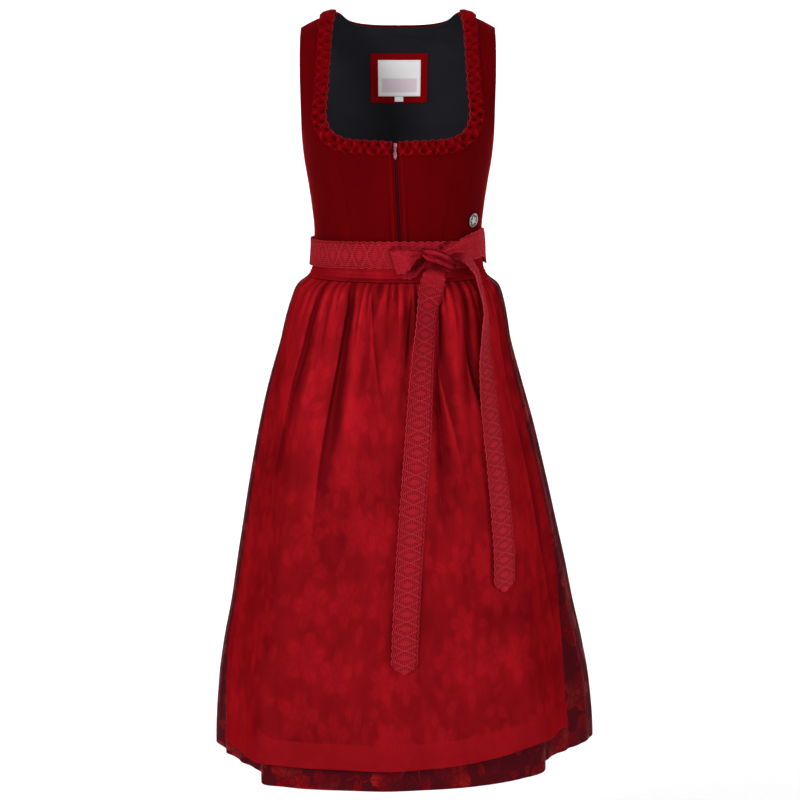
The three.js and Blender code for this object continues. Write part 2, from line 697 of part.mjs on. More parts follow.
function ruffle(side) {
  const stops = neckLine(side);
  const lengths = [0];
  for (let i = 1; i < stops.length; i += 1) {
    lengths.push(lengths[i - 1] + stops[i].distanceTo(stops[i - 1]));
  }
  const total = lengths[lengths.length - 1];
  const repeats = Math.round(total / rufflePitch);
  const stations = repeats * 3;
  const along = (distance) => {
    let i = 1;
    while (i < stops.length - 1 && lengths[i] < distance) i += 1;
    const share = (distance - lengths[i - 1]) / (lengths[i] - lengths[i - 1]);
    return stops[i - 1].clone().lerp(stops[i], share);
  };
  const sections = [];
  for (let k = 0; k <= stations; k += 1) {
    const distance = (total * k) / stations;
    const spot = along(distance);
    const before = along(Math.max(distance - 3, 0));
    const ahead = along(Math.min(distance + 3, total)).sub(before).normalize();
    const turned = side * Math.sign(ahead.x * -side || 1);
    const outward = new THREE.Vector2(-ahead.y, ahead.x).multiplyScalar(turned);
    if (outward.x * side < 0 && Math.abs(outward.x) > Math.abs(outward.y)) outward.negate();
    if (outward.y > 0 && Math.abs(outward.y) > Math.abs(outward.x)) outward.negate();
    const wave = Math.cos((2 * Math.PI * k) / 3);
    const puff = lerp(1, 0.35, smooth(spot.y, -40, -10));
    const ring = [
      { w: 0.8 - 0.8 * wave, out: loose },
      { w: 0.2 - 0.8 * wave, out: loose + 1.2 },
      { w: 6, out: loose + 1.4 + puff * (1.5 + 1.5 * wave) },
      { w: ruffleWidth - 6, out: loose + 1.4 + puff * (1.5 - 1.5 * wave) },
      { w: ruffleWidth - 0.2 + 0.8 * wave, out: loose + 1.2 },
      { w: ruffleWidth - 0.8 + 0.8 * wave, out: loose },
    ].map(({ w, out }) => {
      const p = spot.clone().addScaledVector(outward, w);
      const at = bodicePlace(p.x, Math.min(p.y, -8));
      const crest = 2.4 * ease * smooth(p.y, -45, -16);
      return bodiceAt(at.angle, Math.max(at.row, shoulderRow), out + crest);
    });
    sections.push(ring);
  }
  return loft(sections);
}
piece('trim_left', ruffle(-1), finishes.velvet);
piece('trim_right', ruffle(1), finishes.velvet);

// ---- Zip ------------------------------------------------------------------------------------------
const tapeOut = -(velvet + ease);
const tapeAcross = [-tapeHalf, -coilHalf, 0, coilHalf, tapeHalf];
const tapeGrid = [zipBottom, -340, -310, -280, -250, -220, -204, zipTop - 3].map((z) => (
  tapeAcross.map((w) => {
    const spot = bodicePlace(zipLine(z) + w, z);
    return { u: spot.angle, v: spot.row, w };
  })));
const tapeOuter = tapeGrid.map((row) => row.map(({ u, v, w }) => (
  bodiceAt(u, v, tapeOut + (w === 0 ? coilRise : 0)))));
const tapeInner = tapeGrid.map((row) => row.map(({ u, v }) => bodiceAt(u, v, tapeOut - lining)));
piece('zip_tape', wall(tapeOuter, tapeInner), finishes.tape);

// The slider stands on the coil. Its pull hangs from a pin between two posts.
const sliderMiddle = slider.top - slider.height / 2;
const sliderSpot = bodicePlace(zipLine(sliderMiddle), sliderMiddle);
const sliderBack = bodiceAt(sliderSpot.angle, sliderSpot.row, tapeOut + coilRise + seam).y;
const sliderFront = sliderBack - slider.depth;
const sliderX = zipLine(sliderMiddle);
const pinY = sliderFront - pin.out;
const pinZ = sliderMiddle - pin.below;

function sliderPlate() {
  const half = slider.width / 2;
  const outline = [
    { x: -half, z: slider.top - 2 },
    { x: -half + 1, z: slider.top },
    { x: half - 1, z: slider.top },
    { x: half, z: slider.top - 2 },
    { x: half - 0.8, z: slider.top - slider.height },
    { x: -half + 0.8, z: slider.top - slider.height },
  ];
  const ring = (y, shrink) => outline.map(({ x, z }) => (
    new THREE.Vector3(sliderX + x * shrink, y, sliderMiddle + (z - sliderMiddle) * shrink)));
  return loft([ring(sliderBack, 1), ring(sliderFront + 0.5, 1), ring(sliderFront, 0.86)]);
}

function bridge() {
  const outer = pin.gap + pin.post;
  const foot = sliderFront + 0.4;
  const arch = new THREE.Shape();
  arch.moveTo(-outer, foot);
  arch.lineTo(-outer, pinY - pin.radius);
  arch.lineTo(outer, pinY - pin.radius);
  arch.lineTo(outer, foot);
  arch.lineTo(pin.gap, foot);
  arch.lineTo(pin.gap, pinY + pin.radius);
  arch.lineTo(-pin.gap, pinY + pin.radius);
  arch.lineTo(-pin.gap, foot);
  arch.closePath();
  const geometry = new THREE.ExtrudeGeometry(arch, { depth: 2 * pin.radius, bevelEnabled: false });
  return geometry.translate(sliderX, 0, pinZ - pin.radius);
}
piece('zip_slider', joined(sliderPlate(), bridge()), finishes.lacquer);

// The pull: an eye round the pin and a leaf-shaped tab.
function eye() {
  const ring = new THREE.Shape().absarc(0, 0, pull.eyeOuter, 0, 2 * Math.PI);
  ring.holes.push(new THREE.Path().absarc(0, 0, pull.eyeInner, 0, 2 * Math.PI, true));
  const geometry = new THREE.ExtrudeGeometry(ring, {
    depth: pull.eyeWidth, bevelEnabled: false, curveSegments: 14 });
  return geometry.rotateY(Math.PI / 2).translate(-pull.eyeWidth / 2, 0, 0);
}

function tab() {
  const half = pull.width / 2;
  const neck = pull.eyeWidth / 2 - 0.05;
  const top = -(pull.eyeInner + pull.eyeOuter) / 2;
  const leaf = new THREE.Shape();
  leaf.moveTo(-neck, top);
  leaf.lineTo(-neck, -3.4);
  leaf.bezierCurveTo(-half - 0.6, -6, -half, -pull.length, 0, -pull.length);
  leaf.bezierCurveTo(half, -pull.length, half + 0.6, -6, neck, -3.4);
  leaf.lineTo(neck, top);
  leaf.closePath();
  const geometry = new THREE.ExtrudeGeometry(leaf, {
    depth: pull.thick, bevelEnabled: false, curveSegments: 6 });
  return geometry.rotateX(Math.PI / 2).translate(0, pull.thick / 2, 0);
}
const pullSolid = joined(eye(), tab()).translate(sliderX, pinY, pinZ);
piece('zip_pull', pullSolid, finishes.lacquer);

// ---- Badge ----------------------------------------------------------------------------------------
const badgeSpot = bodicePlace(badge.x, badge.z);
const badgeFoot = bodiceAt(badgeSpot.angle, badgeSpot.row, 0);
const badgeOut = bodiceAt(badgeSpot.angle, badgeSpot.row, 1).sub(badgeFoot);
const badgeProfile = [
  [0, 0], [badge.radius - 0.6, 0], [badge.radius, 0.5], [badge.radius, badge.thick],
  [badge.radius - 0.7, badge.thick + badge.rim], [badge.radius - 1.9, badge.thick + badge.rim],
  [badge.radius - 2.4, badge.thick], [4.2, badge.thick], [3.4, badge.thick + 0.9],
  [1.6, badge.thick + 1.5], [0, badge.thick + 1.6],
].map(([r, y]) => new THREE.Vector2(r, y));
const badgeDisc = new THREE.LatheGeometry(badgeProfile, 22);
const badgeMesh = piece('badge', badgeDisc, finishes.pewter);
badgeMesh.quaternion.setFromUnitVectors(new THREE.Vector3(0, 1, 0), badgeOut);
badgeMesh.position.copy(badgeFoot.addScaledVector(badgeOut, seam + 0.5));

// ---- Skirt ----------------------------------------------------------------------------------------
const skirtHeights = [waistSeam - ease, -392, -415, -465, -560, -700, -880, hem];

function bearings(start, end) {
  const pitch = (360 - 2 * pleatFrom) / pleatCount;
  const list = [];
  for (let b = pleatFrom; b < 360 - pleatFrom; b += pitch / 4) list.push(b);
  const front = [-48.4, -40, -32, -24, -16, -8, 0, 8, 16, 24, 32, 40, 48, 55.7];
  const all = [...list.map((b) => (b > 180 ? b - 360 : b)), ...front, -54];
  const turned = start >= 90 ? all.map((b) => (b < 0 ? b + 360 : b)) : all;
  const inside = turned.filter((b) => b > start + 0.6 && b < end - 0.6);
  return [start, ...inside.sort((a, b) => a - b), end];
}

function skirtPanel(start, end) {
  const columns = bearings(start, end);
  const grid = skirtHeights.map((v) => columns.map((u) => ({ u, v })));
  return layer(skirtAt, grid, -brocade, 0);
}
piece('skirt_front', skirtPanel(-90 + 0.07, 90 - 0.07), finishes.brocade);
piece('skirt_back', skirtPanel(90, 270), finishes.brocade);

// ---- Apron ----------------------------------------------------------------------------------------
function apronSolid() {
  const bandFoot = bandBottom - ease;
  const stops = [0, 0.02, 0.07, 0.18, 0.36, 0.64];
  const columns = gatherCount * 4;
  const rows = [];
  const hemFold = 3;
  const addRow = (heightOf, raise) => rows.push(Array.from({ length: columns + 1 }, (_, j) => {
    const s = j / columns;
    let height = bandFoot;
    let bearing = 0;
    for (let pass = 0; pass < 3; pass += 1) {
      const left = read(apronEdges, 'height', height, 'left');
      const right = read(apronEdges, 'height', height, 'right');
      bearing = lerp(left, right, s);
      height = heightOf(read(apronHem, 'bearing', bearing, 'height'));
    }
    return { u: bearing, v: height, raise };
  }));
  for (const stop of stops) addRow((foot) => lerp(bandFoot, foot + apronHemBand + hemFold, stop), 0);
  addRow((foot) => foot + apronHemBand + hemFold, 0);
  addRow((foot) => foot + apronHemBand, 0.8);
  addRow((foot) => foot, 0.8);
  const outer = rows.map((row) => row.map(({ u, v, raise }) => apronAt(u, v, raise + satin)));
  const inner = rows.map((row) => row.map(({ u, v }) => apronAt(u, v, 0)));
  return wall(outer, inner);
}
piece('apron', apronSolid(), finishes.satin);

const tuckCount = 4;
const tuckRise = 0.7;
const bandHeights = [bandBottom];
for (let k = 0; k < tuckCount; k += 1) {
  bandHeights.push(bandBottom + 2 + k * 5, bandBottom + 4.4 + k * 5);
}
bandHeights.push(-366, bandTop);
const bandGrid = bandHeights.map((z) => Array.from({ length: 21 }, (_, j) => (
  { u: lerp(-76, 76, j / 20), v: rowAtHeight(z), z })));
const bandFlare = (z) => 1.2 * smooth(-z, -waistSeam - 4, -waistSeam + 6);
const bandOuter = bandGrid.map((row, i) => row.map(({ u, v, z }) => (
  bodiceAt(u, v, loose + bandFlare(z) + bandCloth + (i % 2 === 1 && i <= 2 * tuckCount ? tuckRise : 0)))));
const bandInner = bandGrid.map((row) => row.map(({ u, v, z }) => bodiceAt(u, v, loose + bandFlare(z))));
piece('apron_band', wall(bandOuter, bandInner), finishes.satin);

// ---- Sash -----------------------------------------------------------------------------------------
const sashLow = loose + bandCloth + 1;

function sashTop(angle) {
  return -328 - 5 * Math.pow(Math.sin(radians(angle)), 2);
}

function sashStretch(from, to, columns, low, topAt, tallAt) {
  const grid = [0, 0.25, 0.5, 0.75, 1].map((s) => Array.from({ length: columns + 1 }, (_, j) => {
    const angle = lerp(from, to, j / columns);
    const top = topAt(angle);
    return { u: angle, v: rowAtHeight(lerp(top - tallAt(angle), top, s)) };
  }));
  return layer(bodiceAt, grid, low, low + ribbon);
}
const fullWidth = () => ribbonWidth;
piece('sash_front', sashStretch(-89.8, 56, 24, sashLow, sashTop, fullWidth), finishes.jacquard);
piece('sash_back', sashStretch(90, 270, 22, sashLow, sashTop, fullWidth), finishes.jacquard);

// The stretch that comes round the right hip and climbs over the first one to the knot.
const climbGrid = [0, 0.25, 0.5, 0.75, 1].map((s) => Array.from({ length: 13 }, (_, j) => {
  const angle = lerp(36, 89.8, j / 12);
  const top = read(climbRows, 'angle', angle, 'top');
  const bottom = read(climbRows, 'angle', angle, 'bottom');
  return { u: angle, v: rowAtHeight(lerp(bottom, top, s)) };
}));
const climbLow = (angle) => lerp(sashLow + ribbon + ease, sashLow, smooth(angle, 60, 74));
piece('sash_right', wall(
  climbGrid.map((row) => row.map(({ u, v }) => bodiceAt(u, v, climbLow(u) + ribbon))),
  climbGrid.map((row) => row.map(({ u, v }) => bodiceAt(u, v, climbLow(u))))), finishes.jacquard);

// ---- Bow ------------------------------------------------------------------------------------------
// The face of the sash at a place seen from the front.
function sashFace(x, z) {
  let aim = x;
  let foot = new THREE.Vector3();
  for (let pass = 0; pass < 4; pass += 1) {
    const spot = bodicePlace(aim, clamp(z, bandBottom + 2, bandTop + 16));
    foot = bodiceAt(spot.angle, spot.row, sashLow + ribbon);
    aim += x - foot.x;
  }
  return foot;
}

// Knot: rings along the slanting wrap, from the upper left to the lower right.
const knotRings = [
  { x: 35, z: -341, half: 4, deep: 4 },
  { x: 39, z: -344, half: 8, deep: 7 },
  { x: 47, z: -347, half: 11, deep: 9 },
  { x: 57, z: -350, half: 11, deep: 9 },
  { x: 67, z: -354, half: 10, deep: 8 },
  { x: 74, z: -358, half: 6, deep: 5 },
];
const knotSides = 12;
function knotSolid() {
  const way = new THREE.Vector3(1, 0, 2).normalize();
  const sections = knotRings.map((ring) => Array.from({ length: knotSides }, (_, k) => {
    const angle = (2 * Math.PI * k) / knotSides;
    const face = sashFace(ring.x, ring.z).y;
    const point = new THREE.Vector3(ring.x, face - seam - ring.deep * (1 + Math.sin(angle)), ring.z);
    return point.addScaledVector(way, ring.half * Math.cos(angle));
  }));
  return loft(sections);
}
piece('bow_knot', knotSolid(), finishes.jacquard);

// Loop: out to the left, round, and back behind itself.
const loopRows = [
  { x: 34.3, out: 6.2, z: -340.7, half: 4, lean: 10 },
  { x: 29, out: 9.5, z: -342.5, half: 5.5, lean: 6 },
  { x: 24, out: 13, z: -345, half: 8, lean: 2 },
  { x: 12, out: 19, z: -350, half: 12.5, lean: -2 },
  { x: 0, out: 21, z: -354, half: 17, lean: -4 },
  { x: -9, out: 19, z: -356, half: 18.5, lean: -5 },
  { x: -13.5, out: 13.5, z: -358, half: 18, lean: -3 },
  { x: -11, out: 8, z: -361, half: 16.5, lean: 0 },
  { x: -1, out: 5, z: -364, half: 14, lean: 5 },
  { x: 10, out: 4, z: -365, half: 12, lean: 6 },
  { x: 21, out: 3, z: -360, half: 9, lean: 6 },
  { x: 30, out: 2.6, z: -349, half: 6, lean: 8 },
  { x: 34.3, out: 2.3, z: -340.7, half: 4, lean: 10 },
];
const loopStrip = loopRows.map((row) => ({
  centre: new THREE.Vector3(row.x, sashFace(row.x, row.z).y - row.out, row.z),
  across: new THREE.Vector3(row.lean / 20, 0, 1).normalize(),
  half: row.half,
}));
piece('bow_loop', ribbonStrip(loopStrip, ribbon, [-1, -0.4, 0.4, 1]), finishes.jacquard);

// How far forward the dress reaches at a place seen from the front.
function frontReach(x, z) {
  const sash = sashFace(x, z).y - (ribbon + ease) * smooth(x, 50, 60);
  const apron = apronPoint(frontBearing(x, Math.min(z, bandBottom)), Math.min(z, bandBottom)).y;
  return lerp(Math.min(sash, apron), apron, smooth(-z, 388, 410));
}

// A ribbon that hangs in front of the dress: each row goes as far back as the cloth behind lets it.
function hang(table, steps, point) {
  const last = table.length - 1;
  const rows = Array.from({ length: steps + 1 }, (_, k) => {
    const at = (last * k) / steps;
    const value = (column) => readRow(table, at, column);
    const turn = radians(value('turn'));
    return {
      centre: new THREE.Vector3(value('x'), 0, value('z')),
      across: new THREE.Vector3(Math.sin(turn), Math.cos(turn), value('rise')).normalize(),
      lift: value('lift'),
      half: value('half'),
    };
  });
  if (point > 0) {
    const foot = rows[rows.length - 1];
    for (const { down, share } of [{ down: 0.6, share: 0.56 }, { down: 1, share: 0.1 }]) {
      const centre = foot.centre.clone();
      centre.z -= point * down;
      rows.push({ ...foot, centre, half: foot.half * share });
    }
  }
  rows.forEach((row, i) => {
    const ahead = rows[Math.min(i + 1, rows.length - 1)].centre.clone().setY(0);
    const behind = rows[Math.max(i - 1, 0)].centre.clone().setY(0);
    const way = ahead.sub(behind).normalize();
    row.across.addScaledVector(way, -way.dot(row.across)).normalize();
  });
  for (const row of rows) {
    const reach = [-1, -0.5, 0, 0.5, 1].map((s) => {
      const p = row.centre.clone().addScaledVector(row.across, s * row.half);
      return frontReach(p.x, p.z) - s * row.half * row.across.y;
    });
    row.centre.y = Math.min(...reach) - row.lift;
  }
  return ribbonStrip(rows, ribbon, [-1, 0, 1]);
}
piece('bow_band', hang(bandRows, 9, 0), finishes.jacquard);
piece('tail_left', hang(leftTail, 22, tailPoint), finishes.jacquard);
piece('tail_right', hang(rightTail, 18, tailPoint), finishes.jacquard);

export default dirndl;
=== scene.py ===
# %% [markdown]
# # Dressing a dirndl
# A dirndl is three garments in one: a fitted velvet bodice, a wide brocade skirt and a gathered
# satin apron that a long ribbon ties at the waist. The packed model holds each of them as a plain
# thin wall. This lesson puts finer cloth over every wall, with its folds, edges and weave. It could
# be sculpted by hand, but a formula for each cloth keeps seams shut and is easy to change.

# %% Load the frame
import math

import bpy
import bmesh
import numpy as np
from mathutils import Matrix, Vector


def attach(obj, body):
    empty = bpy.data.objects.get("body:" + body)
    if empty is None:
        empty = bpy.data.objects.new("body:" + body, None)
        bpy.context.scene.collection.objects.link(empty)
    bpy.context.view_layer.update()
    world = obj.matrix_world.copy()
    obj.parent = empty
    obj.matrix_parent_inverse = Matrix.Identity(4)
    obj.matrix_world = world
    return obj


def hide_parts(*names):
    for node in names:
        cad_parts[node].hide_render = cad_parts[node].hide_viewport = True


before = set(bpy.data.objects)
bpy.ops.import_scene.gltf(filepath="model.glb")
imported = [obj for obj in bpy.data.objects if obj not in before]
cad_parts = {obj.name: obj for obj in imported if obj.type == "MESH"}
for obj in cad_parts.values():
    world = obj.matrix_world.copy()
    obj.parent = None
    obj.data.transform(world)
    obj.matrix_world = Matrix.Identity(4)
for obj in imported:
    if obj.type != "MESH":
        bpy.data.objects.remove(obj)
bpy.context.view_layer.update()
MM = 0.001
print("nodes in the frame:", len(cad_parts))

# %% [markdown]
# ## Small mathematics
# Cloth sizes are kept in short tables in millimetres, a row for each section. A reader draws a
# smooth curve through a column, so a few rows give a surface that can be sampled as finely as a
# render needs. Arrays are read whole, because a loop over points would be slow.

# %% Tables and curves


def table(columns, *rows):
    return dict(zip(columns.split(), np.array(rows, float).T))


def smooth(value, start, end):
    t = np.clip((np.asarray(value, float) - start) / (end - start), 0, 1)
    return t * t * (3 - 2 * t)


def mix(a, b, t):
    return a + (b - a) * t


def hermite(t, y0, slope0, y1, slope1):
    t2, t3 = t * t, t * t * t
    return ((2 * t3 - 3 * t2 + 1) * y0 + (t3 - 2 * t2 + t) * slope0
            + (3 * t2 - 2 * t3) * y1 + (t3 - t2) * slope1)


def read(rows, key, at, column):
    """A smooth curve through a table, read at a value of its key column."""
    x, y = rows[key], rows[column]
    if x[0] > x[-1]:
        x, y = x[::-1], y[::-1]
    slope = np.zeros(len(x))
    slope[1:-1] = (y[2:] - y[:-2]) / (x[2:] - x[:-2])
    at = np.clip(np.asarray(at, float), x[0], x[-1])
    i = np.clip(np.searchsorted(x, at, side="right") - 1, 0, len(x) - 2)
    span = x[i + 1] - x[i]
    return hermite((at - x[i]) / span, y[i], slope[i] * span, y[i + 1], slope[i + 1] * span)


def read_row(rows, row, column):
    """A smooth curve through a table, read by row number."""
    y = rows[column]
    last = len(y) - 1
    row = np.asarray(row, float)
    i = np.clip(np.floor(row).astype(int), 0, last - 1)
    before = np.where(i == 0, y[1] - y[0], (y[i + 1] - y[np.maximum(i - 1, 0)]) / 2)
    after = np.where(i == last - 1, y[last] - y[last - 1], (y[np.minimum(i + 2, last)] - y[i]) / 2)
    return hermite(row - i, y[i], before, y[i + 1], after)


def solve(low, high, test, steps=36):
    """Where a test stops being true, found by halving, for a whole array at once."""
    for _ in range(steps):
        middle = (low + high) / 2
        passed = test(middle)
        low, high = np.where(passed, middle, low), np.where(passed, high, middle)
    return (low + high) / 2


def points(x, y, z):
    return np.stack(np.broadcast_arrays(x, y, z), axis=-1).astype(float)


def unit(v):
    return v / np.maximum(np.linalg.norm(v, axis=-1, keepdims=True), 1e-9)


print("half way from 2 to 8 on a smooth step:", float(mix(2, 8, smooth(0.5, 0, 1))))

# %% [markdown]
# ## The bodice's sizes
# A tailor fits a bodice to a row of body measures, from shoulder to waist. Here each row is a flat
# oval: half its width, its depth to the front and to the back, and how far the armhole cuts into
# it. It could be lofted from drawn curves, but a table of measures is easier to check and change.

# %% Bodice sizes
SEAM, EASE, LOOSE = 0.3, 0.8, 1.3
VELVET, LINING, BROCADE, SATIN, RIBBON, BAND_CLOTH = 2.0, 1.0, 1.5, 1.2, 1.5, 1.5
WAIST, HEM, BAND_TOP, BAND_BOTTOM = -376.0, -1112.0, -346.0, -388.0
ZIP_TOP, ZIP_BOTTOM, SLIDER_END = -188.0, -366.0, -203.0
SEAM_TOP, UNDERARM = -105.0, -192.0
SHOULDER_HALF, SHOULDER_DROP, SHOULDER_CURVE, SHOULDER_FADE = 139.5, 31.0, 2.7, 110.0
NECK_HALF, BACK_NECK_DROP = 87.0, 27.0

bodice_sections = table(
    "height half front back front_cut back_cut",
    (0, 139.5, 0, 0, 0.75, 0.75), (-6, 139.5, 22, 20, 0.75, 0.75), (-22, 139.5, 44, 39, 0.8, 0.8),
    (-50, 139.5, 61, 56, 0.76, 0.78), (-85, 139.5, 77, 70, 0.66, 0.69),
    (-120, 139.5, 92, 81, 0.52, 0.56), (-155, 139.5, 106, 88, 0.33, 0.38),
    (-180, 139.5, 114, 91, 0.15, 0.17), (UNDERARM, 139.5, 117, 92, 0, 0),
    (-220, 136.5, 118, 91, 0, 0), (-250, 131.5, 115, 88, 0, 0), (-285, 126.5, 108, 83, 0, 0),
    (-325, 123, 100, 78, 0, 0), (WAIST, 126.5, 99, 81, 0, 0), (-392, 136, 109, 90, 0, 0))
neck_edge = table("x z", (87, -8.5), (92, -28), (95, -71), (97.5, -114), (100, -141), (99.5, -158),
                  (92.5, -174), (77, -183), (57, -186), (30, -187))
LAST_SECTION = len(bodice_sections["height"]) - 1
SHOULDER_ROW = 0.0


def section(row, column):
    near = np.abs(row)
    value = read_row(bodice_sections, near, column)
    if column in ("front", "back"):
        return value
    slope = bodice_sections[column][1] - bodice_sections[column][0]
    return np.where(near < 1, value - slope * near * (1 - near) ** 2, value)


print("the bodice has", LAST_SECTION + 1, "rows of measures")

# %% [markdown]
# ## The bodice's surface
# The straps are steep at the shoulder, so a place on the bodice is given as an angle round the body
# and a row number, and another function finds the place under a point seen from the front. A
# finished mesh could be measured instead, but a formula can also be read a little above or below
# the cloth, and that is where everything sewn to it lies.

# %% Bodice surface


def bodice_half(row, column):
    cut = np.maximum(0, section(row, column))
    return section(row, "half") / np.sqrt(1 - cut * cut)


def bodice_point(angle, row):
    angle, row = np.broadcast_arrays(np.asarray(angle, float), np.asarray(row, float))
    front = np.abs(angle) <= 90
    sign = np.where(row < 0, -1, 1)
    depth = np.where(front, section(row, "front"), section(row, "back")) * sign
    half = np.where(front, bodice_half(row, "front_cut"), bodice_half(row, "back_cut"))
    x = half * np.sin(np.radians(angle))
    height = section(row, "height")
    slope = SHOULDER_DROP * (np.abs(x) / SHOULDER_HALF) ** SHOULDER_CURVE
    return points(x, -depth * np.cos(np.radians(angle)), height - slope * smooth(height, -SHOULDER_FADE, 0))


def moved_out(point, facing):
    """Turns a surface into one that can also be read some way above or below the cloth."""
    def surface(u, v, out=0.0):
        u, v = np.asarray(u, float), np.asarray(v, float)
        du = point(u + 0.05, v) - point(u - 0.05, v)
        dv = point(u, v + 0.004) - point(u, v - 0.004)
        normal = unit(np.cross(du, dv))
        return point(u, v) + normal * np.asarray(out * facing, float)[..., None]
    return surface


bodice_at = moved_out(bodice_point, -1)


def row_at(height):
    height = np.asarray(height, float)
    return solve(np.zeros_like(height), np.full_like(height, LAST_SECTION),
                 lambda row: section(row, "height") > height)


def bodice_place(x, z, behind=False):
    """The angle and row of a point given as it is seen from the front or from behind."""
    x, z = np.broadcast_arrays(np.asarray(x, float), np.asarray(z, float))
    column = "back_cut" if behind else "front_cut"

    def turn(row):
        angle = np.degrees(np.arcsin(np.clip(x / bodice_half(row, column), -1, 1)))
        return 180 - angle if behind else angle

    row = solve(np.zeros_like(x), np.full_like(x, LAST_SECTION),
                lambda r: bodice_point(turn(r), r)[..., 2] > z)
    return turn(row), row


def armhole_angle(row, column):
    return np.degrees(np.arccos(np.clip(section(row, column), 0, 1)))


print("bodice under the arm is", float(2 * section(row_at(UNDERARM), "half")), "mm wide")

# %% [markdown]
# ## The skirt's sizes
# The skirt is a wide tube, pleated into the waist. It could be a plain cone, but from above its hem
# isn't round: the apron's weight flattens the front, and the sides swing out. So one table holds
# the width at each height, and another the plan of the hem.

# %% Skirt sizes
skirt_widths = table(
    "height half middle", (WAIST, 126.5, 0), (-388, 132, 0), (-402, 149, 0), (-427, 159, -1),
    (-457, 166.5, -2.5), (-487, 172.5, -3.5), (-547, 189.5, -4), (-610, 206, -2.5), (-701, 226, 0),
    (-764, 238.5, 2), (-827, 251, 4), (-891, 263, 5.5), (-955, 277.5, 7), (-1020, 288.5, 9),
    (HEM, 294, 10))
hem_plan = table(
    "bearing skirt apron", (-180, 205, 205), (-150, 219, 219), (-120, 259, 259), (-105, 281, 281),
    (-90, 294, 294), (-77, 279, 280), (-68, 267, 272), (-60, 257, 271), (-55, 256, 276),
    (-48.4, 277, 280), (-42, 262, 265), (-23, 226, 229), (-4, 212, 215), (10, 209, 212),
    (28, 219, 222), (46, 238, 241), (55.7, 249, 252), (64, 236, 248), (70, 239, 248),
    (79, 260, 264), (90, 294, 294), (105, 281, 281), (120, 259, 259), (150, 219, 219),
    (180, 205, 205))
PLEATS, PLEAT_FROM, PLEAT_TOP, PLEAT_HEM = 28, 58.0, 3.2, 9.0
UNDER = {"depth": 11, "from": 380, "full": 425, "fade": 640, "to": 860, "bearing": 76}
print("the skirt has", PLEATS, "pleats, which are", PLEAT_HEM, "mm deep at the hem")

# %% [markdown]
# ## The skirt's surface
# The waist's oval and the hem's plan are mixed by how far the skirt has widened. Pleats could be cut
# into the mesh one by one, but a wave that deepens on the way down is even, and its count is one
# number. Under the apron the skirt draws in a little, so that the two cloths stay apart.

# %% Skirt surface


def spread(height):
    half = skirt_widths["half"]
    return (read(skirt_widths, "height", height, "half") - half[0]) / (half[-1] - half[0])


def waist_oval(bearing):
    turn = np.radians(bearing)
    row = LAST_SECTION - 1
    depth = np.where(np.abs(bearing) < 90, bodice_sections["front"][row], bodice_sections["back"][row])
    return 1 / np.hypot(np.sin(turn) / bodice_sections["half"][row], np.cos(turn) / depth)


def wrap(bearing):
    return np.where(bearing > 180, bearing - 360, bearing)


def skirt_reach(bearing, height, column):
    full = spread(height)
    return waist_oval(bearing) * (1 - full) + read(hem_plan, "bearing", bearing, column) * full


def pleat_wave(bearing):
    """How far into its pleat the cloth is: 0 on a pleat's crest, 1 in its valley."""
    past = np.abs(bearing) - PLEAT_FROM
    pitch = (360 - 2 * PLEAT_FROM) / PLEATS
    lean = 0.16 * np.sin(bearing * 1.7) + 0.1 * np.sin(bearing * 0.61 + 2)
    wave = 0.5 - 0.5 * np.cos(2 * np.pi * past / pitch + lean)
    return wave * smooth(past, 0, 8)


def pleat_depth(bearing, height):
    depth = mix(PLEAT_TOP, PLEAT_HEM, np.sqrt(np.maximum(spread(height), 0)))
    flank = 0.35 + 0.65 * smooth(np.abs(bearing), 76, 108)
    return depth * flank * pleat_wave(bearing) * (1 + 0.12 * np.sin(bearing * 0.9 + height / 170))


def tucked_under(bearing, height):
    down = smooth(-height, UNDER["from"], UNDER["full"]) * smooth(-height, UNDER["to"], UNDER["fade"])
    return UNDER["depth"] * down * smooth(UNDER["bearing"] - np.abs(bearing), 0, 14)


def stand(bearing, height, reach):
    turn = np.radians(bearing)
    middle = read(skirt_widths, "height", height, "middle")
    return points(middle + reach * np.sin(turn), -reach * np.cos(turn), height)


def skirt_point(bearing, height):
    bearing, height = np.broadcast_arrays(np.asarray(bearing, float), np.asarray(height, float))
    b = wrap(bearing)
    reach = skirt_reach(b, height, "skirt") - pleat_depth(b, height) - tucked_under(b, height)
    return stand(bearing, height, reach)


skirt_at = moved_out(skirt_point, 1)
print("hem to hem the skirt is", round(float(2 * read(hem_plan, "bearing", 90, "skirt"))), "mm wide")

# %% [markdown]
# ## The apron's surface
# The apron lies on the skirt, a little further out, with gathers under its band and a few long
# folds. It could be a copy of the skirt's front, but its edges lean and its hem dips, so tables say
# where they run. A row of the fold table is one fold: its bearing at the top and at
# the foot, the heights where it starts and ends, its width and its rise.

# %% Apron sizes and surface
GATHERS, GATHER_DEPTH, HEM_BAND = 24, 4.0, 36.0
FOLD_COLUMNS = "top foot start end width rise"
apron_edges = table(
    "height left right", (BAND_BOTTOM, -75, 75), (-466, -77, 78), (-600, -77, 79.5),
    (-730, -77, 81.5), (-830, -78, 81), (-922, -79, 77), (-996, -76, 74), (-1080, -73, 73))
apron_hem = table("bearing height", (-75, -1084), (-45, -1076), (0, -1077), (30, -1070),
                  (52, -1060), (75, -1064))
long_folds = table(
    FOLD_COLUMNS, (-60, -62, -392, -600, 5, 6), (-31, -38, -392, -700, 5, -9),
    (-21, -27, -400, -820, 6, 5), (-10, -14, -392, -540, 3.5, 4), (20, 14, -410, -800, 6, 6),
    (27, 22, -392, -800, 4, -10), (35, 33, -392, -760, 5, 6), (43, 43, -392, -620, 4, -7),
    (69, 71, -392, -700, 4, -6), (60, 63, -420, -960, 6, 6))


def fold_rows(folds):
    return zip(*(folds[column] for column in FOLD_COLUMNS.split()))


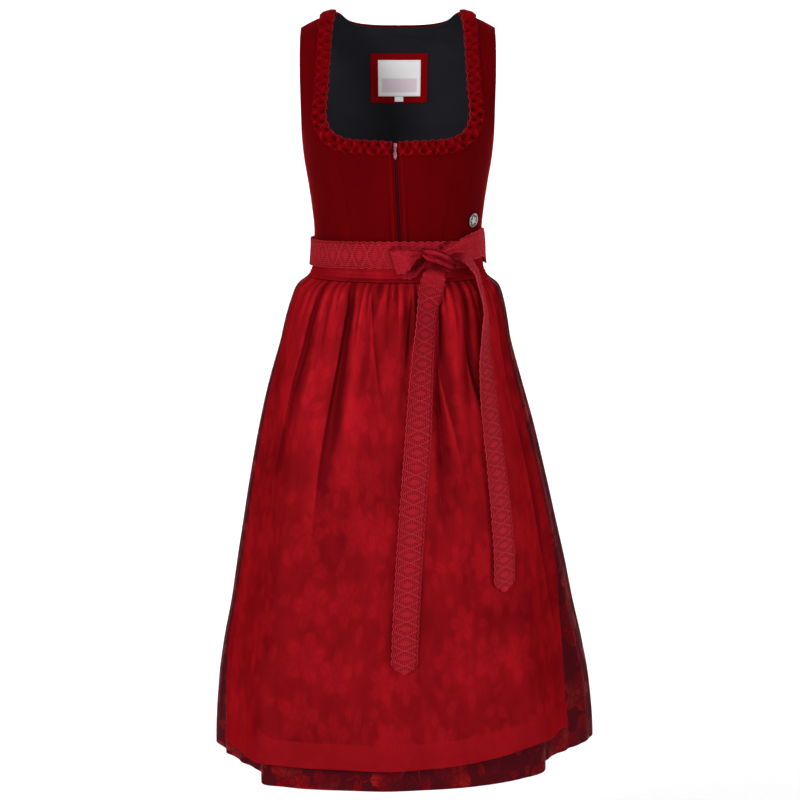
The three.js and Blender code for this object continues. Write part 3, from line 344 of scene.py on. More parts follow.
def fold_rise(folds, bearing, height):
    rise = np.zeros(np.broadcast(bearing, height).shape)
    for top, foot, start, end, width, lift in fold_rows(folds):
        along = (start - height) / (start - end)
        middle = mix(top, foot, np.clip(along, 0, 1))
        strength = smooth(along, -0.02, 0.12) * (1 - smooth(along, 0.45, 1))
        rise = rise + lift * strength * np.exp(-((bearing - middle) / width) ** 2)
    return rise


def apron_share(bearing, height):
    left = read(apron_edges, "height", height, "left")
    right = read(apron_edges, "height", height, "right")
    return (bearing - left) / (right - left)


def gather_wave(bearing, height):
    """The gathers under the band: 0 in a valley and up to 1 on a crest."""
    share = apron_share(bearing, height)
    uneven = 0.72 + 0.28 * np.sin(share * 37 + 1)
    wave = 0.5 - 0.5 * np.cos(2 * np.pi * GATHERS * (share + 0.007 * np.sin(share * 53)))
    return wave * mix(uneven, 1, smooth(height, -420, -400))


def apron_point(bearing, height):
    bearing, height = np.broadcast_arrays(np.asarray(bearing, float), np.asarray(height, float))
    gathered = smooth(height, -505, -400) * smooth(-height, 386, 396)
    wave = gather_wave(bearing, height)
    clear = mix(6.8, 4.0, smooth(-height, 388, 404))
    reach = (skirt_reach(bearing, height, "apron") + fold_rise(long_folds, bearing, height)
             + clear + GATHER_DEPTH * gathered * wave)
    return stand(bearing, height, reach)


apron_at = moved_out(apron_point, 1)


def front_bearing(x, height):
    x, height = np.broadcast_arrays(np.asarray(x, float), np.asarray(height, float))
    return solve(np.full(x.shape, -85.0), np.full(x.shape, 85.0),
                 lambda b: apron_point(b, height)[..., 0] < x)


print("apron's left edge at its hem:", np.round(apron_point(-73.0, -1080.0)))

# %% [markdown]
# ## Turning grids into cloth
# Every cloth here is a grid of points twice over, its outside and its inside, joined round the
# edge. A Solidify modifier would do that too, but two grids let the outside carry relief while the
# inside stays plain. Each wall also gets a UV map in metres of flat cloth, so that weave and
# pattern keep their real scale.

# %% Wall maker
CREASE_ANGLE = math.radians(50)


def new_object(name, vertices, faces, uv=None):
    mesh = bpy.data.meshes.new(name)
    mesh.from_pydata([tuple(p) for p in vertices * MM], [], faces)
    if uv is not None:
        layer = mesh.uv_layers.new(name="cloth")
        loops = np.empty(len(mesh.loops), int)
        mesh.loops.foreach_get("vertex_index", loops)
        layer.data.foreach_set("uv", (uv[loops] * MM).ravel())
    piece = bpy.data.objects.new(name, mesh)
    bpy.context.collection.objects.link(piece)
    mesh.shade_smooth()
    mesh.set_sharp_from_angle(angle=CREASE_ANGLE)
    mesh.update()
    return piece


def volume_of(vertices, faces):
    quads = np.array(faces)
    a, b, c, d = (vertices[quads[:, k]] for k in range(4))
    return np.einsum("ij,ij->", a, np.cross(b, c)) + np.einsum("ij,ij->", a, np.cross(c, d))


def grid_lengths(grid):
    """How far each point lies along the cloth, across and down, in millimetres."""
    across = np.linalg.norm(np.diff(grid, axis=1), axis=-1)
    down = np.linalg.norm(np.diff(grid, axis=0), axis=-1)
    u = np.concatenate([np.zeros((grid.shape[0], 1)), np.cumsum(across, axis=1)], axis=1)
    v = np.concatenate([np.zeros((1, grid.shape[1])), np.cumsum(down, axis=0)], axis=0)
    return np.stack([u - u.mean(axis=1, keepdims=True), v], axis=-1)


def wall(name, outer, inner, uv=None):
    rows, columns = outer.shape[:2]
    vertices = np.concatenate([outer.reshape(-1, 3), inner.reshape(-1, 3)])
    flat = (grid_lengths(outer) if uv is None else uv).reshape(-1, 2)
    index = np.arange(rows * columns).reshape(rows, columns)
    back = index + rows * columns

    def quads(a, b, c, d):
        return np.stack([a.ravel(), b.ravel(), c.ravel(), d.ravel()], axis=1)

    faces = np.concatenate([
        quads(index[:-1, :-1], index[:-1, 1:], index[1:, 1:], index[1:, :-1]),
        quads(back[:-1, :-1], back[1:, :-1], back[1:, 1:], back[:-1, 1:]),
        quads(index[0, :-1], back[0, :-1], back[0, 1:], index[0, 1:]),
        quads(index[-1, :-1], index[-1, 1:], back[-1, 1:], back[-1, :-1]),
        quads(index[:-1, 0], index[1:, 0], back[1:, 0], back[:-1, 0]),
        quads(index[:-1, -1], back[:-1, -1], back[1:, -1], index[1:, -1])])
    if volume_of(vertices, faces) < 0:
        faces = faces[:, ::-1]
    return new_object(name, vertices, faces.tolist(), np.concatenate([flat, flat]))


print("wall maker ready, with edges sharp over", round(math.degrees(CREASE_ANGLE)), "degrees")

# %% [markdown]
# ## Layers and marks
# Most cloths lie a fixed way above or below a surface that a formula gives, so one helper makes both
# grids from it. A finish also has to know things such as how deep a fold is. That could be baked
# into an image, but a number on each point needs no image and follows every change of shape.

# %% Layers and marks


def layer(name, surface, u, v, low, high, relief=0.0, uv=None):
    """A wall that follows a surface, with its relief on the outside only."""
    return wall(name, surface(u, v, high + relief), surface(u, v, np.full(u.shape, low)), uv)


def point_values(piece, name, values):
    """Writes a number on every point of a piece, so that its finish can read it."""
    piece.data.attributes.new(name, "FLOAT", "POINT").data.foreach_set("value", values)
    return piece


def mark(piece, name, outside, inside=0.0):
    """Writes such numbers on a wall: a grid of them outside, and a grid or one number inside."""
    inside = np.broadcast_to(inside, np.shape(outside))
    return point_values(piece, name, np.concatenate([np.ravel(outside), inside.ravel()]))


def stations(stops, steps):
    """Parameter values with so many steps between one stop and the next."""
    stops = np.asarray(stops, float)
    return np.interp(np.arange((len(stops) - 1) * steps + 1) / steps, np.arange(len(stops)), stops)


print("one step in three, from 0 to 2:", stations((0, 2), 3))

# %% [markdown]
# ## Short ways to build a finish
# A finish is a node tree that ends in one Principled shader. The helper keeps the trees short: it
# links a socket where it gets one and sets a number where it gets a number. Patterns read the UV
# map that the wall maker wrote, in metres, so a scale in nodes is a real size.

# %% Finish helper


class Finish:
    def __init__(self, name, **settings):
        self.material = bpy.data.materials.new(name)
        self.material.use_nodes = True
        self.nodes = self.material.node_tree.nodes
        self.links = self.material.node_tree.links
        self.shader = self.nodes["Principled BSDF"]
        for socket, value in settings.items():
            self.shader.inputs[socket.replace("_", " ")].default_value = value

    def put(self, socket, value):
        if isinstance(value, bpy.types.NodeSocket):
            self.links.new(value, socket)
        else:
            socket.default_value = value

    def node(self, kind, inputs=(), output=0, **settings):
        node = self.nodes.new(kind)
        for key, value in settings.items():
            setattr(node, key, value)
        for key, value in dict(inputs).items():
            self.put(node.inputs[key], value)
        return node.outputs[output]

    def math(self, operation, *values):
        return self.node("ShaderNodeMath", enumerate(values), operation=operation)

    def vector(self, operation, *values, output=0):
        return self.node("ShaderNodeVectorMath", enumerate(values), output, operation=operation)

    def cloth(self):
        return self.node("ShaderNodeUVMap", uv_map="cloth")

    def place(self):
        return self.node("ShaderNodeTexCoord", output="Object")

    def marked(self, name):
        """A number that a piece carries on its points."""
        return self.node("ShaderNodeAttribute", output=2, attribute_name=name)

    def stretched(self, vector, scale):
        return self.node("ShaderNodeMapping", {"Vector": vector, "Scale": scale})

    def noise(self, vector, scale, detail=3.0, roughness=0.5):
        return self.node("ShaderNodeTexNoise", {
            "Vector": vector, "Scale": scale, "Detail": detail, "Roughness": roughness})

    def ramp(self, value, *stops):
        node = self.nodes.new("ShaderNodeValToRGB")
        while len(node.color_ramp.elements) < len(stops):
            node.color_ramp.elements.new(0.5)
        for element, (position, colour) in zip(node.color_ramp.elements, stops):
            element.position = position
            element.color = (*colour, 1)
        self.put(node.inputs[0], value)
        return node.outputs[0]

    def mixed(self, share, a, b):
        node = self.nodes.new("ShaderNodeMix")
        node.data_type = "RGBA"
        self.put(node.inputs[0], share)
        self.put(node.inputs[6], (*a, 1) if isinstance(a, tuple) else a)
        self.put(node.inputs[7], (*b, 1) if isinstance(b, tuple) else b)
        return node.outputs[2]

    def band(self, value, edge, soft):
        """1 where a value is under an edge, 0 over it, with a soft border."""
        return self.node("ShaderNodeMapRange", {
            "Value": value, "From Min": edge - soft, "From Max": edge + soft, "To Min": 1.0, "To Max": 0.0},
            interpolation_type="SMOOTHSTEP")

    def split(self, vector):
        node = self.nodes.new("ShaderNodeSeparateXYZ")
        self.put(node.inputs[0], vector)
        return node.outputs[0], node.outputs[1]

    def bump(self, height, distance, normal=None):
        inputs = {"Height": height, "Distance": distance, "Strength": 1.0}
        if normal is not None:
            inputs["Normal"] = normal
        return self.node("ShaderNodeBump", inputs)

    def colour(self, value):
        self.put(self.shader.inputs["Base Color"], value)
        return self

    def normal(self, value):
        self.put(self.shader.inputs["Normal"], value)
        return self


def threads(f, cloth, pitch_u, pitch_v):
    """Plain weave: two crossed sets of thread, as a height from 0 to 1."""
    u, v = f.split(cloth)
    warp = f.math("SINE", f.math("MULTIPLY", u, 2 * math.pi / pitch_u))
    weft = f.math("SINE", f.math("MULTIPLY", v, 2 * math.pi / pitch_v))
    return f.math("MULTIPLY_ADD", f.math("MULTIPLY", warp, weft), 0.5, 0.5)


print("the finish helper has", len([name for name in vars(Finish) if name[0] != "_"]), "short ways")

# %% [markdown]
# ## Velvet
# Velvet is a cloth of short upright pile. Seen from above the pile swallows light, and at a grazing
# angle its tips catch it, which is what the shader's sheen does. A faint stretched noise stands for
# nap that was brushed one way, and a fine bump for the pile itself.

# %% Velvet
VELVET_RED, VELVET_DEEP = (0.112, 0.0002, 0.0013), (0.078, 0.0001, 0.0009)
VELVET_SHEEN = (0.9, 0.004, 0.02, 1)
# The last two colours are a painted highlight for crests and a painted shade for grooves.
VELVET_CREST_HIGHLIGHT, VELVET_GROOVE_SHADE = (0.22, 0.0008, 0.003), (0.03, 0.0001, 0.0005)


def make_velvet(name, light=1.0):
    f = Finish(name, Roughness=0.95, Sheen_Weight=0.42, Sheen_Roughness=0.3, Sheen_Tint=VELVET_SHEEN,
               Specular_IOR_Level=0.02)
    place = f.place()
    nap = f.noise(f.stretched(place, (1.0, 1.0, 0.35)), 14.0, 4.0, 0.55)
    pile = f.noise(place, 1500.0, 2.0, 0.7)
    tone = f.math("MULTIPLY_ADD", pile, 0.35, f.math("MULTIPLY", nap, 0.8))
    deep = tuple(c * light for c in VELVET_DEEP)
    red = tuple(c * light for c in VELVET_RED)
    shade = f.ramp(tone, (0.32, deep), (0.78, red))
    # Painted highlight on the crests beside the zip, and painted shade in the grooves beside it and along
    # the princess seam.
    shade = f.mixed(f.marked("crest_highlight"), shade, VELVET_CREST_HIGHLIGHT)
    shade = f.mixed(f.marked("groove_shade"), shade, VELVET_GROOVE_SHADE)
    f.colour(shade)
    f.normal(f.bump(pile, 0.0002))
    return f, shade


def make_ruffle_velvet():
    """Velvet with painted shade in its pits and painted highlights on its crests, whose neck edge shows the
    pale line of its seam.
    """
    f, shade = make_velvet("ruffle velvet", 1.5)
    relief = f.marked("relief")
    # Painted shade in the pits and a painted highlight on the crests, both read from the relief number.
    shade = f.mixed(f.band(relief, 0.14, 0.3), shade, (0.026, 0.0001, 0.0004))
    crest = f.math("SUBTRACT", 1.0, f.band(relief, 0.92, 0.2))
    shade = f.mixed(f.math("MULTIPLY", crest, 0.5), shade, (0.36, 0.006, 0.016))
    return f.colour(f.mixed(f.band(f.marked("edge"), 0.02, 0.012), shade, (0.10, 0.035, 0.04))).material


velvet = make_velvet("dark red velvet")[0].material
patch_velvet = make_velvet("patch velvet", 2.4)[0].material
ruffle_velvet = make_ruffle_velvet()
print("velvet ready")

# %% [markdown]
# ## Flowers for the brocade
# The skirt's cloth is woven with a rambling floral figure. A painted tile would repeat in plain
# sight, so the figure is invented by rule: a Voronoi texture scatters a seed for each flower, and an
# angle and a distance from that seed draw its petals. A second scatter draws leaves as lenses, and
# cell borders, bent by noise, become stems.

# %% Floral figure
FLOWER_SPACING, LEAF_SPACING, STEM_SPACING = 0.088, 0.036, 0.062


def seeds(f, cloth, spacing, loose):
    """For each point: its place from the nearest seed, in spacings, and that seed's own numbers."""
    node = f.nodes.new("ShaderNodeTexVoronoi")
    node.voronoi_dimensions = "2D"
    f.put(node.inputs["Vector"], cloth)
    f.put(node.inputs["Scale"], 1 / spacing)
    f.put(node.inputs["Randomness"], loose)
    away = f.vector("SCALE", f.vector("SUBTRACT", cloth, node.outputs["Position"]))
    away.node.inputs["Scale"].default_value = 1 / spacing
    own = f.nodes.new("ShaderNodeSeparateColor")
    f.put(own.inputs[0], node.outputs["Color"])
    return away, own.outputs[0], own.outputs[1], own.outputs[2]


def turned(f, away, chance):
    node = f.nodes.new("ShaderNodeVectorRotate")
    node.rotation_type = "Z_AXIS"
    f.put(node.inputs["Vector"], away)
    f.put(node.inputs["Angle"], f.math("MULTIPLY", chance, 2 * math.pi))
    return f.split(node.outputs[0])


def flowers(f, cloth, blur):
    away, turn, size, _ = seeds(f, cloth, FLOWER_SPACING, 0.7)
    x, y = turned(f, away, turn)
    angle = f.math("ARCTAN2", y, x)
    reach = f.vector("LENGTH", away, output="Value")
    scale = f.math("MULTIPLY_ADD", size, 0.4, 0.75)
    far = f.math("DIVIDE", reach, scale)
    petals = f.math("COSINE", f.math("MULTIPLY", angle, 5.0))
    inner = f.math("COSINE", f.math("MULTIPLY_ADD", angle, 5.0, math.pi))
    frill = f.math("MULTIPLY", f.math("COSINE", f.math("MULTIPLY", angle, 25.0)), 0.012)
    edge = f.math("ADD", f.math("MULTIPLY_ADD", petals, 0.085, 0.34), frill)
    bloom = f.band(f.math("SUBTRACT", far, edge), 0.0, 0.012 * blur)
    inner_edge = f.math("MULTIPLY_ADD", inner, 0.05, 0.17)
    ring = f.band(f.math("ABSOLUTE", f.math("SUBTRACT", far, inner_edge)), 0.018, 0.01 * blur)
    heart = f.band(f.math("ABSOLUTE", f.math("SUBTRACT", far, 0.075)), 0.016, 0.008 * blur)
    spokes = f.band(f.math("ABSOLUTE", f.math("SINE", f.math("MULTIPLY", angle, 2.5))), 0.06, 0.05 * blur)
    vein = f.math("MULTIPLY", spokes, f.band(f.math("SUBTRACT", 0.2, far), 0.0, 0.02))
    lines = f.math("MAXIMUM", f.math("MAXIMUM", ring, heart), vein)
    bloom = f.math("MULTIPLY", bloom, f.math("MULTIPLY_ADD", lines, -0.7, 1.0))
    return bloom, f.band(far, 0.5, 0.03)


def leaves(f, cloth, blur):
    away, turn, size, kind = seeds(f, cloth, LEAF_SPACING, 0.85)
    x, y = turned(f, away, turn)
    length = f.math("MULTIPLY", x, f.math("MULTIPLY_ADD", size, 0.8, 1.7))
    breadth = f.math("MULTIPLY_ADD", f.math("MULTIPLY", length, length), -0.2, 0.2)
    leaf = f.band(f.math("SUBTRACT", f.math("ABSOLUTE", y), breadth), 0.0, 0.02 * blur)
    rib = f.band(f.math("ABSOLUTE", y), 0.015, 0.01 * blur)
    return f.math("MULTIPLY", f.math("MULTIPLY", leaf, f.math("SUBTRACT", 1.0, rib)),
                  f.math("GREATER_THAN", kind, 0.3))


def stems(f, cloth, blur):
    bend = f.noise(cloth, 26.0, 2.0)
    bent = f.vector("ADD", cloth, f.vector("MULTIPLY", bend, (0.05, 0.05, 0.0)))
    node = f.nodes.new("ShaderNodeTexVoronoi")
    node.voronoi_dimensions = "2D"
    node.feature = "DISTANCE_TO_EDGE"
    f.put(node.inputs["Vector"], bent)
    f.put(node.inputs["Scale"], 1 / STEM_SPACING)
    return f.math("DIVIDE", f.band(node.outputs["Distance"], 0.022, 0.008 * blur), blur)


def floral_figure(f, cloth, blur=1.0):
    bloom, round_bloom = flowers(f, cloth, blur)
    green = f.math("MAXIMUM", leaves(f, cloth, blur), stems(f, cloth, blur))
    outside = f.math("MULTIPLY", green, f.math("SUBTRACT", 1.0, round_bloom))
    return f.math("MAXIMUM", bloom, outside)


print("flower spacing", FLOWER_SPACING * 1000, "mm")

# %% [markdown]
# ## Brocade and satin
# Brocade shows the figure as floats of bright thread on a dull ground, so its colour, gloss and
# height all follow the same mask. The apron is a thin satin over the skirt. It could be made half
# transparent, but that is slow to render, so a faint ghost of flowers in its colour stands for what
# shows through.

# %% Brocade and satin
BROCADE_GROUND, BROCADE_FIGURE = (0.054, 0.0034, 0.006), (0.165, 0.0016, 0.0045)
# A painted glint colour for the figure's thread floats.
BROCADE_GLINT = (0.5, 0.034, 0.022)
SATIN_LIGHT, SATIN_DEEP = (0.35, 0.0064, 0.0115), (0.125, 0.0024, 0.0046)
SATIN_DOUBLE = (0.25, 0.0046, 0.0085)
RED_GLOSS = (1.0, 0.06, 0.09, 1)


def make_brocade():
    f = Finish("floral brocade", Roughness=0.55, Specular_IOR_Level=0.01, Sheen_Weight=0.05,
               Sheen_Tint=(0.9, 0.02, 0.03, 1))
    cloth = f.cloth()
    figure = floral_figure(f, cloth)
    dots = threads(f, cloth, 0.0034, 0.0034)
    wear_and_painted_light = f.ramp(f.noise(cloth, 13.0, 3.0, 0.6), (0.36, (0.12, 0.12, 0.12)), (0.64, (0.95, 0.95, 0.95)))
    share = f.math("MULTIPLY", figure, wear_and_painted_light)
    stipple = f.math("MULTIPLY_ADD", f.band(f.math("SUBTRACT", 0.72, dots), 0.0, 0.1), 0.16, 0.0)
    ground = f.mixed(f.math("MAXIMUM", share, stipple), BROCADE_GROUND, BROCADE_FIGURE)
    # Painted glints: bright flecks on the figure's thread floats, where a noise allows.
    bright = f.ramp(f.noise(cloth, 21.0, 2.0), (0.5, (0, 0, 0)), (0.66, (1, 1, 1)))
    beads = f.band(f.math("SUBTRACT", 0.6, threads(f, cloth, 0.0021, 0.0021)), 0.0, 0.15)
    float_glints = f.math("MULTIPLY", f.math("MULTIPLY", f.math("MULTIPLY", bright, share), beads), 0.75)
    f.colour(f.mixed(float_glints, ground, BROCADE_GLINT))
    f.put(f.shader.inputs["Roughness"], f.math("MULTIPLY_ADD", figure, -0.14, 0.6))
    weave = f.bump(threads(f, cloth, 0.0011, 0.0008), 0.00008)
    return f.normal(f.bump(figure, 0.00025, weave)).material


def make_satin(name, ghost):
    f = Finish(name, Roughness=0.45, Metallic=0.3, Specular_IOR_Level=0.0, Specular_Tint=RED_GLOSS,
               Sheen_Weight=0.08, Sheen_Roughness=0.4, Sheen_Tint=(1.0, 0.01, 0.03, 1))
    cloth = f.cloth()
    streak = f.noise(f.stretched(cloth, (60.0, 9.0, 1.0)), 1.0, 4.0, 0.6)
    cloud = f.noise(f.stretched(cloth, (1.0, 0.7, 1.0)), 16.0, 3.0, 0.55)
    tone = f.math("MULTIPLY_ADD", cloud, 0.65, f.math("MULTIPLY_ADD", streak, 0.1, 0.17))
    if ghost:
        tone = f.math("ADD", tone, f.math("MULTIPLY_ADD", floral_figure(f, cloth, 7.0), 0.15, -0.05))
        # Painted light and shade: the relief number lightens fold and gather crests and darkens their
        # valleys and the shadow beside crisp folds.
        tone = f.math("ADD", tone, f.math("MULTIPLY", f.marked("relief"), 0.34))
        shade = f.ramp(tone, (0.3, SATIN_DEEP), (0.86, SATIN_LIGHT))
        f.colour(f.mixed(f.math("MULTIPLY", f.marked("double"), 0.7), shade, SATIN_DOUBLE))
    else:
        f.colour(f.ramp(tone, (0.3, SATIN_DEEP), (0.8, SATIN_LIGHT)))
    weave = f.bump(threads(f, cloth, 0.0009, 0.0006), 0.00004)
    return f.normal(f.bump(streak, 0.0001, weave)).material


brocade = make_brocade()
satin = make_satin("sheer apron satin", True)
band_satin = make_satin("apron band satin", False)
print("brocade and satin ready")

# %% [markdown]
# ## Ribbon jacquard
# The ribbon's jacquard is a chain of lenses with beaded borders. A drawn tile could be repeated, but
# a distance that is folded back and forth along the ribbon gives the same chain and never shows a
# join. Where the ribbon is tied, its pattern is pulled flat and a fine crinkle takes its place.

# %% Ribbon jacquard
RIBBON_RED, RIBBON_LIGHT = (0.32, 0.0085, 0.0165), (0.45, 0.022, 0.034)
RIBBON_DEEP = (0.085, 0.0008, 0.0024)
LENS_PITCH, DASH_PITCH, RIBBON_HALF = 0.021, 0.0031, 0.020
RING_PLACES = (0.48, 0.66, 0.84)


def make_jacquard():
    """Lenses down the middle and half lenses at the edges, each in rings of small dents."""
    f = Finish("jacquard ribbon", Roughness=0.75, Specular_IOR_Level=0.015, Sheen_Weight=0.1,
               Sheen_Tint=(1.0, 0.05, 0.08, 1))
    cloth = f.cloth()
    across, along = f.split(cloth)
    step = f.math("PINGPONG", along, LENS_PITCH / 2)
    reach = f.math("MULTIPLY", step, 2 / LENS_PITCH)
    side = f.math("DIVIDE", f.math("ABSOLUTE", across), RIBBON_HALF)
    rounded = f.math("SQRT", f.math("MULTIPLY_ADD", side, side, 0.03))
    lens = f.math("ADD", reach, f.math("SUBTRACT", rounded, 0.17))
    lens = f.math("MINIMUM", lens, f.math("SUBTRACT", 2.0, lens))
    rings = None
    for place in RING_PLACES:
        ring = f.band(f.math("ABSOLUTE", f.math("SUBTRACT", lens, place)), 0.045, 0.04)
        rings = ring if rings is None else f.math("MAXIMUM", rings, ring)
    dashes = f.math("SINE", f.math("MULTIPLY", across, 2 * math.pi / DASH_PITCH))
    dashes = f.math("MULTIPLY_ADD", dashes, 0.6, 0.62)
    dents = f.math("MULTIPLY", rings, dashes)
    hemmed = f.band(f.math("ABSOLUTE", f.math("SUBTRACT", side, 0.9)), 0.03, 0.03)
    dents = f.math("MAXIMUM", dents, f.math("MULTIPLY", hemmed, 0.8))
    dents = f.math("MULTIPLY", dents, f.math("SUBTRACT", 1.0, f.marked("plain")))
    picots = f.math("SUBTRACT", 1.0, f.band(side, 0.955, 0.02))
    inside = f.band(lens, 0.4, 0.06)
    weave = threads(f, cloth, 0.0012, 0.0012)
    fleck = f.noise(cloth, 900.0, 2.0)
    tone = f.math("MULTIPLY_ADD", dents, -0.5, f.math("MULTIPLY_ADD", fleck, 0.75, 0.22))
    tone = f.math("ADD", tone, f.math("MULTIPLY_ADD", inside, -0.14, f.math("MULTIPLY", weave, 0.1)))
    tone = f.math("MULTIPLY_ADD", picots, 0.3, tone)
    # Painted shade from each piece's shade number: under the knot, in wrinkles, inside the loop and where
    # ribbons cross; a number below zero paints light.
    tone = f.math("MULTIPLY_ADD", f.marked("shade"), -0.62, tone)
    crinkle = f.noise(cloth, 340.0, 3.0, 0.65)
    tone = f.math("ADD", tone, f.math("MULTIPLY", f.marked("plain"), f.math("SUBTRACT", crinkle, 0.6)))
    f.colour(f.ramp(tone, (0.04, RIBBON_DEEP), (0.5, RIBBON_RED), (0.9, RIBBON_LIGHT)))
    fine = f.bump(f.math("MULTIPLY", crinkle, f.marked("plain")), 0.0012, f.bump(weave, 0.0001))
    return f.normal(f.bump(f.math("SUBTRACT", 1.0, dents), 0.0014, fine)).material


jacquard = make_jacquard()
print("one lens of the ribbon is", LENS_PITCH * 1000, "mm long")

# %% [markdown]
# ## Plain cloths, metal and label
# The lining, the zip tape and the threads are plain cloths and share one weave. Metal has one worn
# finish, in which a fine noise changes colour and gloss. The label's pink field could be a piece of
# its own, but it is woven in, so it is only a colour inside a measured box.

# %% Plain cloths, metal and label


def make_plain(name, colour, roughness, pitch, shade=0.75, gloss=0.25):
    f = Finish(name, Roughness=roughness, Specular_IOR_Level=gloss)
    cloth = f.cloth()
    weave = threads(f, cloth, pitch, pitch)
    cloud = f.noise(f.place(), 30.0, 3.0)
    tone = f.math("MULTIPLY_ADD", weave, 0.4, f.math("MULTIPLY", cloud, 0.6))
    f.colour(f.ramp(tone, (0.2, tuple(c * shade for c in colour)), (0.7, colour)))
    return f.normal(f.bump(weave, 0.00012)).material


def make_metal(name, colour, metallic, roughness, grime):
    f = Finish(name, Metallic=metallic, Specular_IOR_Level=0.5)
    wear_and_painted_light = f.noise(f.place(), 420.0, 4.0, 0.6)
    f.colour(f.ramp(wear_and_painted_light, (0.35, grime), (0.6, colour)))
    f.put(f.shader.inputs["Roughness"], f.math("MULTIPLY_ADD", wear_and_painted_light, 0.25, roughness))
    return f.normal(f.bump(wear_and_painted_light, 0.00004)).material


def make_label():
    """White woven label with a bare pale pink field in its lower half."""
    white, pink = (0.97, 0.965, 0.975), (0.82, 0.67, 0.735)
    f = Finish("white woven label", Roughness=0.6, Specular_IOR_Level=0.2)
    cloth = f.cloth()
    x, z = f.split(cloth)
    wide = f.band(f.math("ABSOLUTE", f.math("SUBTRACT", x, 0.002)), 0.0265, 0.0004)
    tall = f.band(f.math("ABSOLUTE", f.math("ADD", z, 0.1125)), 0.0105, 0.0004)
    weave = threads(f, cloth, 0.0007, 0.0007)
    field = f.math("MULTIPLY", f.math("MULTIPLY", wide, tall), f.math("MULTIPLY_ADD", weave, 0.2, 0.8))
    f.colour(f.mixed(field, white, pink))
    return f.normal(f.bump(weave, 0.0001)).material


lining_cloth = make_plain("black lining", (0.0125, 0.012, 0.0165), 0.85, 0.0009, 0.7, 0.15)
label_cloth = make_label()
tape_cloth = make_plain("zip tape", (0.062, 0.006, 0.011), 0.8, 0.001, 0.75, 0.03)
lacquer = make_metal("lacquered zip metal", (0.36, 0.15, 0.17), 0.9, 0.2, (0.17, 0.02, 0.035))
print("finishes:", len(bpy.data.materials))

# %% [markdown]
# ## Dressing a piece
# Each piece says two things: the body it rides on and the packed node it stands for, which is
# hidden. It also gets its finish. One helper does it all, because a long list of single calls would
# hide a slip.

# %% Dress
BODY = "dress"


def dress(piece, material, node):
    piece.data.materials.append(material)
    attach(piece, BODY)
    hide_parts(node)
    print(piece.name, "has", len(piece.data.polygons), "faces")
    return piece


print("the cloth rides on the body", BODY)

# %% [markdown]
# ## Bodice fronts
# Each front is one shaped piece from the zip to the shaping seam, and from the waist up over the
# shoulder. Its inner edge follows the zip and then the neck. Its princess seam could be a real gap
# between two parts, but a soft line pressed into the pile, with painted shade along it, catches the
# light in the same way. A stitched ridge runs by the zip, with painted shade in the grooves beside it
# and a painted highlight on its crest.

# %% Bodice fronts
front_lines = table(
    "edge neck outer", (WAIST, -1, WAIST), (-350, -1, -350), (-320, -1, -320), (-285, -1, -285),
    (-250, -1, -255), (-222, -1, -238), (SLIDER_END, -1, -222), (ZIP_TOP, -1, -207), (0, 9, -198),
    (0, 8, -188), (0, 7, -170), (0, 6, -148), (0, 5, -124), (0, 4, SEAM_TOP), (0, 3, -85),
    (0, 2, -50), (0, 1, -22), (0, 0.35, -6), (0, 0, 0))
ZIP_LINES = 8
ZIP_TOP_X, ZIP_LOW_X, ZIP_LOW_HEIGHT = -4, 2, -323
SLIT_TOP, SLIT_LOW, SLIT_LOW_HEIGHT = 4.2, 2.2, -214
SHAPING_FOOT = 50


def zip_line(z):
    return mix(ZIP_TOP_X, ZIP_LOW_X, np.clip((ZIP_TOP - z) / (ZIP_TOP - ZIP_LOW_HEIGHT), 0, 1))


def slot_edge(z):
    narrowed = mix(SLIT_TOP, SLIT_LOW, smooth(-z, -SLIDER_END, -SLIT_LOW_HEIGHT))
    return np.where(z > SLIDER_END, SLIT_TOP, narrowed)


def shaping_angle(row):
    top = armhole_angle(row_at(SEAM_TOP), "front_cut")
    return mix(SHAPING_FOOT, top, np.clip((section(row, "height") - WAIST) / (SEAM_TOP - WAIST), 0, 1))


def groove(distance, width, depth):
    return -depth * np.exp(-(distance / width) ** 2)


def front_grid(side, steps=5, columns=44):
    lines = len(front_lines["edge"])
    at = stations(range(lines), steps)
    on_zip = at <= ZIP_LINES - 1
    edge = np.interp(at, range(lines), front_lines["edge"])
    neck = np.interp(at, range(ZIP_LINES, lines), front_lines["neck"][ZIP_LINES:])
    x = np.where(on_zip, zip_line(edge) + side * slot_edge(edge), side * read_row(neck_edge, neck, "x"))
    z = np.where(on_zip, edge, read_row(neck_edge, neck, "z"))
    gap = (at > ZIP_LINES - 1) & (at < ZIP_LINES)
    share = at[gap] - (ZIP_LINES - 1)
    x[gap] = mix(zip_line(ZIP_TOP) + side * SLIT_TOP, side * neck_edge["x"][-1], share)
    z[gap] = mix(ZIP_TOP, neck_edge["z"][-1], share)
    angle, row = bodice_place(x, z)
    row[-1] = SHOULDER_ROW
    outer = np.interp(at, range(lines), front_lines["outer"])
    outer_row = np.maximum(row_at(outer), SHOULDER_ROW)
    armhole = armhole_angle(outer_row, "front_cut")
    outer_angle = np.where(outer <= SEAM_TOP, shaping_angle(outer_row), armhole)
    s = np.linspace(0, 1, columns + 1)[None, :]
    return mix(angle[:, None], side * outer_angle[:, None], s), mix(row[:, None], outer_row[:, None], s)


def zip_ridge(place):
    """Stitched ridges that hold the zip tape, seven millimetres from the slit."""
    away = np.abs(place[..., 0] - zip_line(place[..., 2]))
    below = smooth(-place[..., 2], -ZIP_TOP + 6, -ZIP_TOP + 30)
    return below * (1.1 * np.exp(-((away - 6.2) / 3.4) ** 2) + groove(away - 11, 1.3, 0.8))


